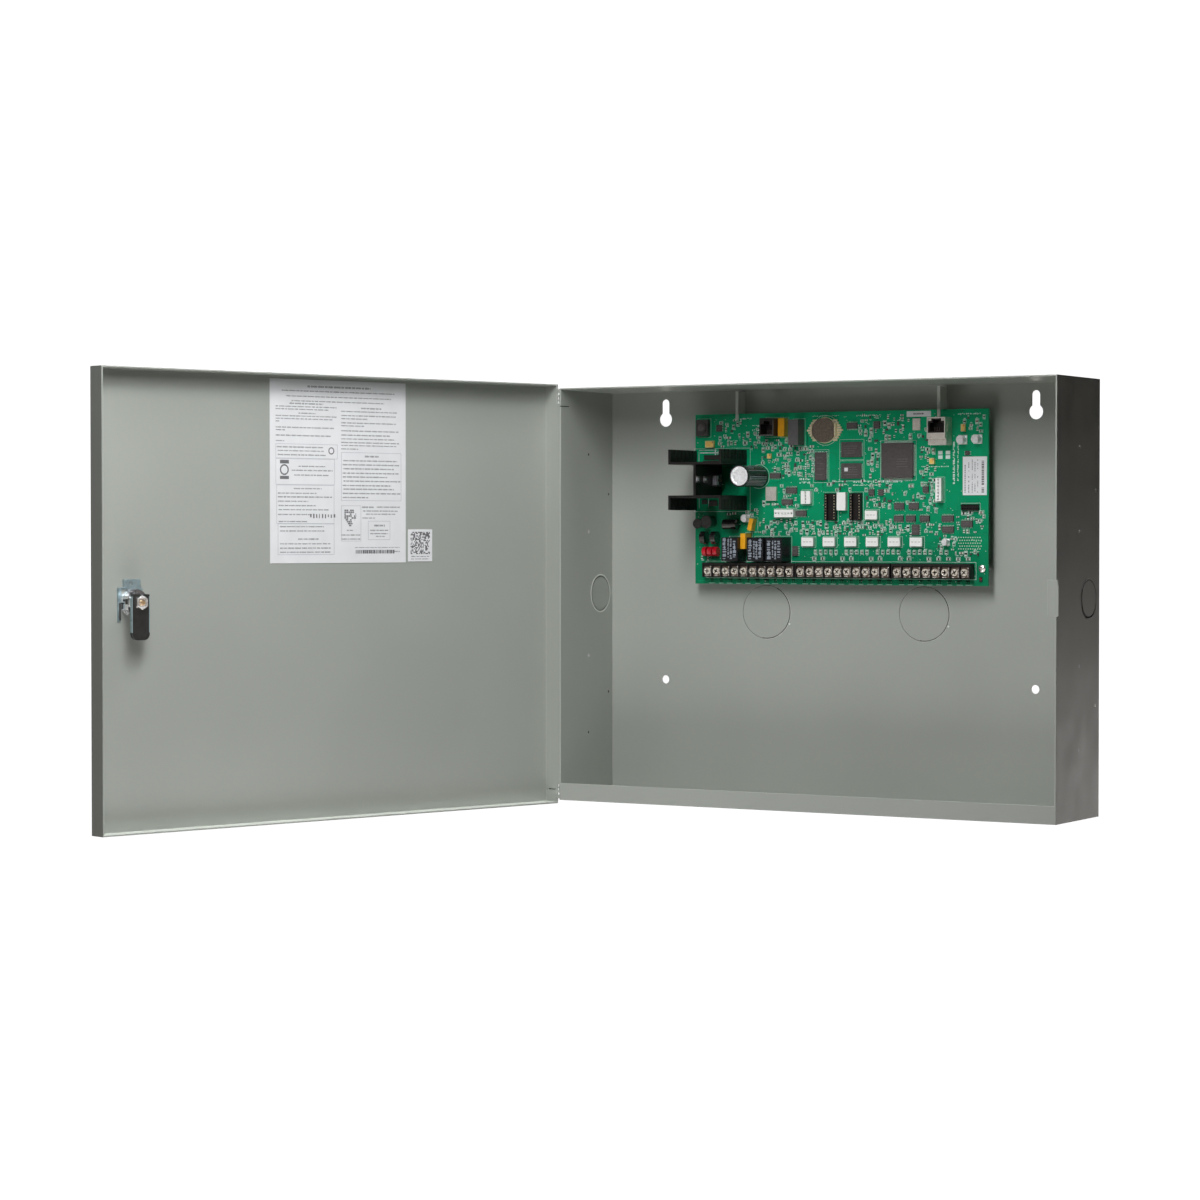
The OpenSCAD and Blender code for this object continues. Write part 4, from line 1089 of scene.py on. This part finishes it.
# Painted shade on the clip beside the flat.
clip_shade = (8.1, 0.6, 0.98, 9.9, 13.6, 1.04)
plates(on_lock, [(FLAT - SUNK, y0, h0, FLAT + 0.12, y1, h1) for y0, h0, y1, h1 in FLAT_GLINTS],
       "barrel_flat_glints", "glint", "chrome", "door")
plates(on_lock, [(FLAT - SUNK, y0, h0, FLAT + 0.1, y1, h1) for y0, h0, y1, h1 in FLAT_SHADES] + [clip_shade],
       "barrel_flat_shades", "dark_gap", "chrome", "door")
# Painted highlights along the cam's flanks and the rim of its face.
flanks = [(x0, -4.6, CAM_BACK + 0.1, x1, 22.6, CAM_FACE + 0.02) for x0, x1 in ((7.95, 8.1), (-8.1, -7.95))]
faces = [(x0, -4.6, CAM_FACE - SUNK, x1, 22.6, CAM_FACE + 0.05) for x0, x1 in ((7.3, 8), (-8, -7.3))]
plates(on_lock, flanks + faces, "cam_edges", "spring_steel", "spring", "lock_cam_and_plug")

# ---------------- painted shade in pressed grooves, painted sheen on the foot flange, and wing tips

# Painted shade in the pressed grooves of the left wall and the hinge-side flange.
plates(in_cabinet, [(-221.85, 155.95, 70.2, -221.55, 157.05, 84.4)],
       "wall_groove_shade", "dark_gap", "cabinet")
plates(on_door, [(-224.5, -164.4, -3.2, -224.2, -163.1, 4.5)],
       "flange_groove_shade", "dark_gap", "cabinet", "door")
# Painted sheen on the door's foot flange.
plates(on_door, [(-223.6, -174.17, 0.05, 223.6, -174.08, 14.05)],
       "foot_flange_sheen", "rim_paint", "cabinet", "door")
# The hinge-side flange above and below the hinge pins.
plates(on_door, [(-224.85, z0, 13.1, -223.65, z0 + 3.2, 17.6) for z0 in (168, -171.2)],
       "hinge_side_wing_tips", "paint", "cabinet", "door")

# ---------------- stage and light

FLOOR_Z, REACH = -0.62, 14.0
WALL_RADIUS, STEPS = 9.0, 48


def stage_look(name, color, glow, tint=(1, 1, 1)):
    n = Nodes(name)
    n.feed(n.shader, {"Base Color": n.mix(n.noise(2.0), scaled(color, 0.99), color), "Roughness": 0.9,
                      "Emission Color": tint, "Emission Strength": glow})
    return n.material


def stage_mesh(name, points, faces, look):
    mesh = bpy.data.meshes.new(name)
    mesh.from_pydata(points, [], faces)
    made = in_scene(name, mesh)
    mesh.materials.append(look)
    return made


def stage_floor(name, z, look):
    corners = [(x, y, z) for x, y in ((-REACH, -REACH), (REACH, -REACH), (REACH, REACH), (-REACH, REACH))]
    return stage_mesh(name, corners, [(0, 1, 2, 3)], look)


pale = stage_look("pale", (0.9, 0.9, 0.9), 1.1)
floor = stage_floor("floor", FLOOR_Z, pale)
walls = []
for k in range(STEPS):
    x, y = around(0, 0, WALL_RADIUS, 2 * pi * k / STEPS)
    walls += [(x, y, FLOOR_Z - 0.1), (x, y, WALL_RADIUS)]
sides = [[j % (2 * STEPS) for j in (2 * k, 2 * k + 1, 2 * k + 3, 2 * k + 2)] for k in range(STEPS)]
lid = [2 * k + 1 for k in range(STEPS)]
backdrop = stage_mesh("backdrop", walls, sides + [lid], pale)
for thing in (floor, backdrop):
    thing.visible_diffuse = thing.visible_glossy = thing.visible_transmission = thing.visible_shadow = False
# The pale floor's light on the panel, kept apart from what the camera sees of it.
floor_light = stage_floor("floor_light", FLOOR_Z - 0.01,
                          stage_look("floor_light", (0.02, 0.02, 0.02), 1.0, (1, 0.93, 0.86)))
floor_light.visible_camera = floor_light.visible_diffuse = False

world = bpy.data.worlds.new("studio")
world.use_nodes = True
world.node_tree.nodes["Background"].inputs["Strength"].default_value = 0.0
bpy.context.scene.world = world


def soft_light(name, place, target, wide, tall, watts):
    data = bpy.data.lights.new(name, "AREA")
    data.shape, data.size, data.size_y, data.energy = "RECTANGLE", wide, tall, watts
    light = in_scene(name, data)
    light.location = place
    light.rotation_euler = (Vector(target) - Vector(place)).to_track_quat("-Z", "Y").to_euler()


# name, place, target, width, height, watts
LIGHTS = [("overhead", (0, -0.2, 0.9), (-0.35, -0.35, 0), 0.3, 0.3, 3.1),
          ("overhead_front", (0.1, -0.7, 0.75), (-0.1, -0.2, 0), 0.2, 0.3, 4.4),
          ("door_side", (0.12, -0.9, 0.55), (-0.35, -0.3, 0.05), 0.3, 0.4, 4.0),
          ("low_front", (-0.1, -0.55, -0.55), (-0.25, -0.25, 0), 0.3, 0.3, 1.43),
          ("low_under", (0.1, -0.25, -0.7), (-0.35, -0.3, 0), 0.3, 0.3, 1.15),
          ("low_right", (1.9, -0.6, -0.9), (0.2, -0.1, 0), 1.0, 0.8, 0.3),
          ("behind", (0.3, 1.7, -0.35), (0, 0, 0), 1.2, 0.4, 2.5),
          ("behind_left", (-1.9, 0.5, 0.5), (-0.3, -0.2, 0), 1.0, 0.8, 12.0)]
for light in LIGHTS:
    soft_light(*light)
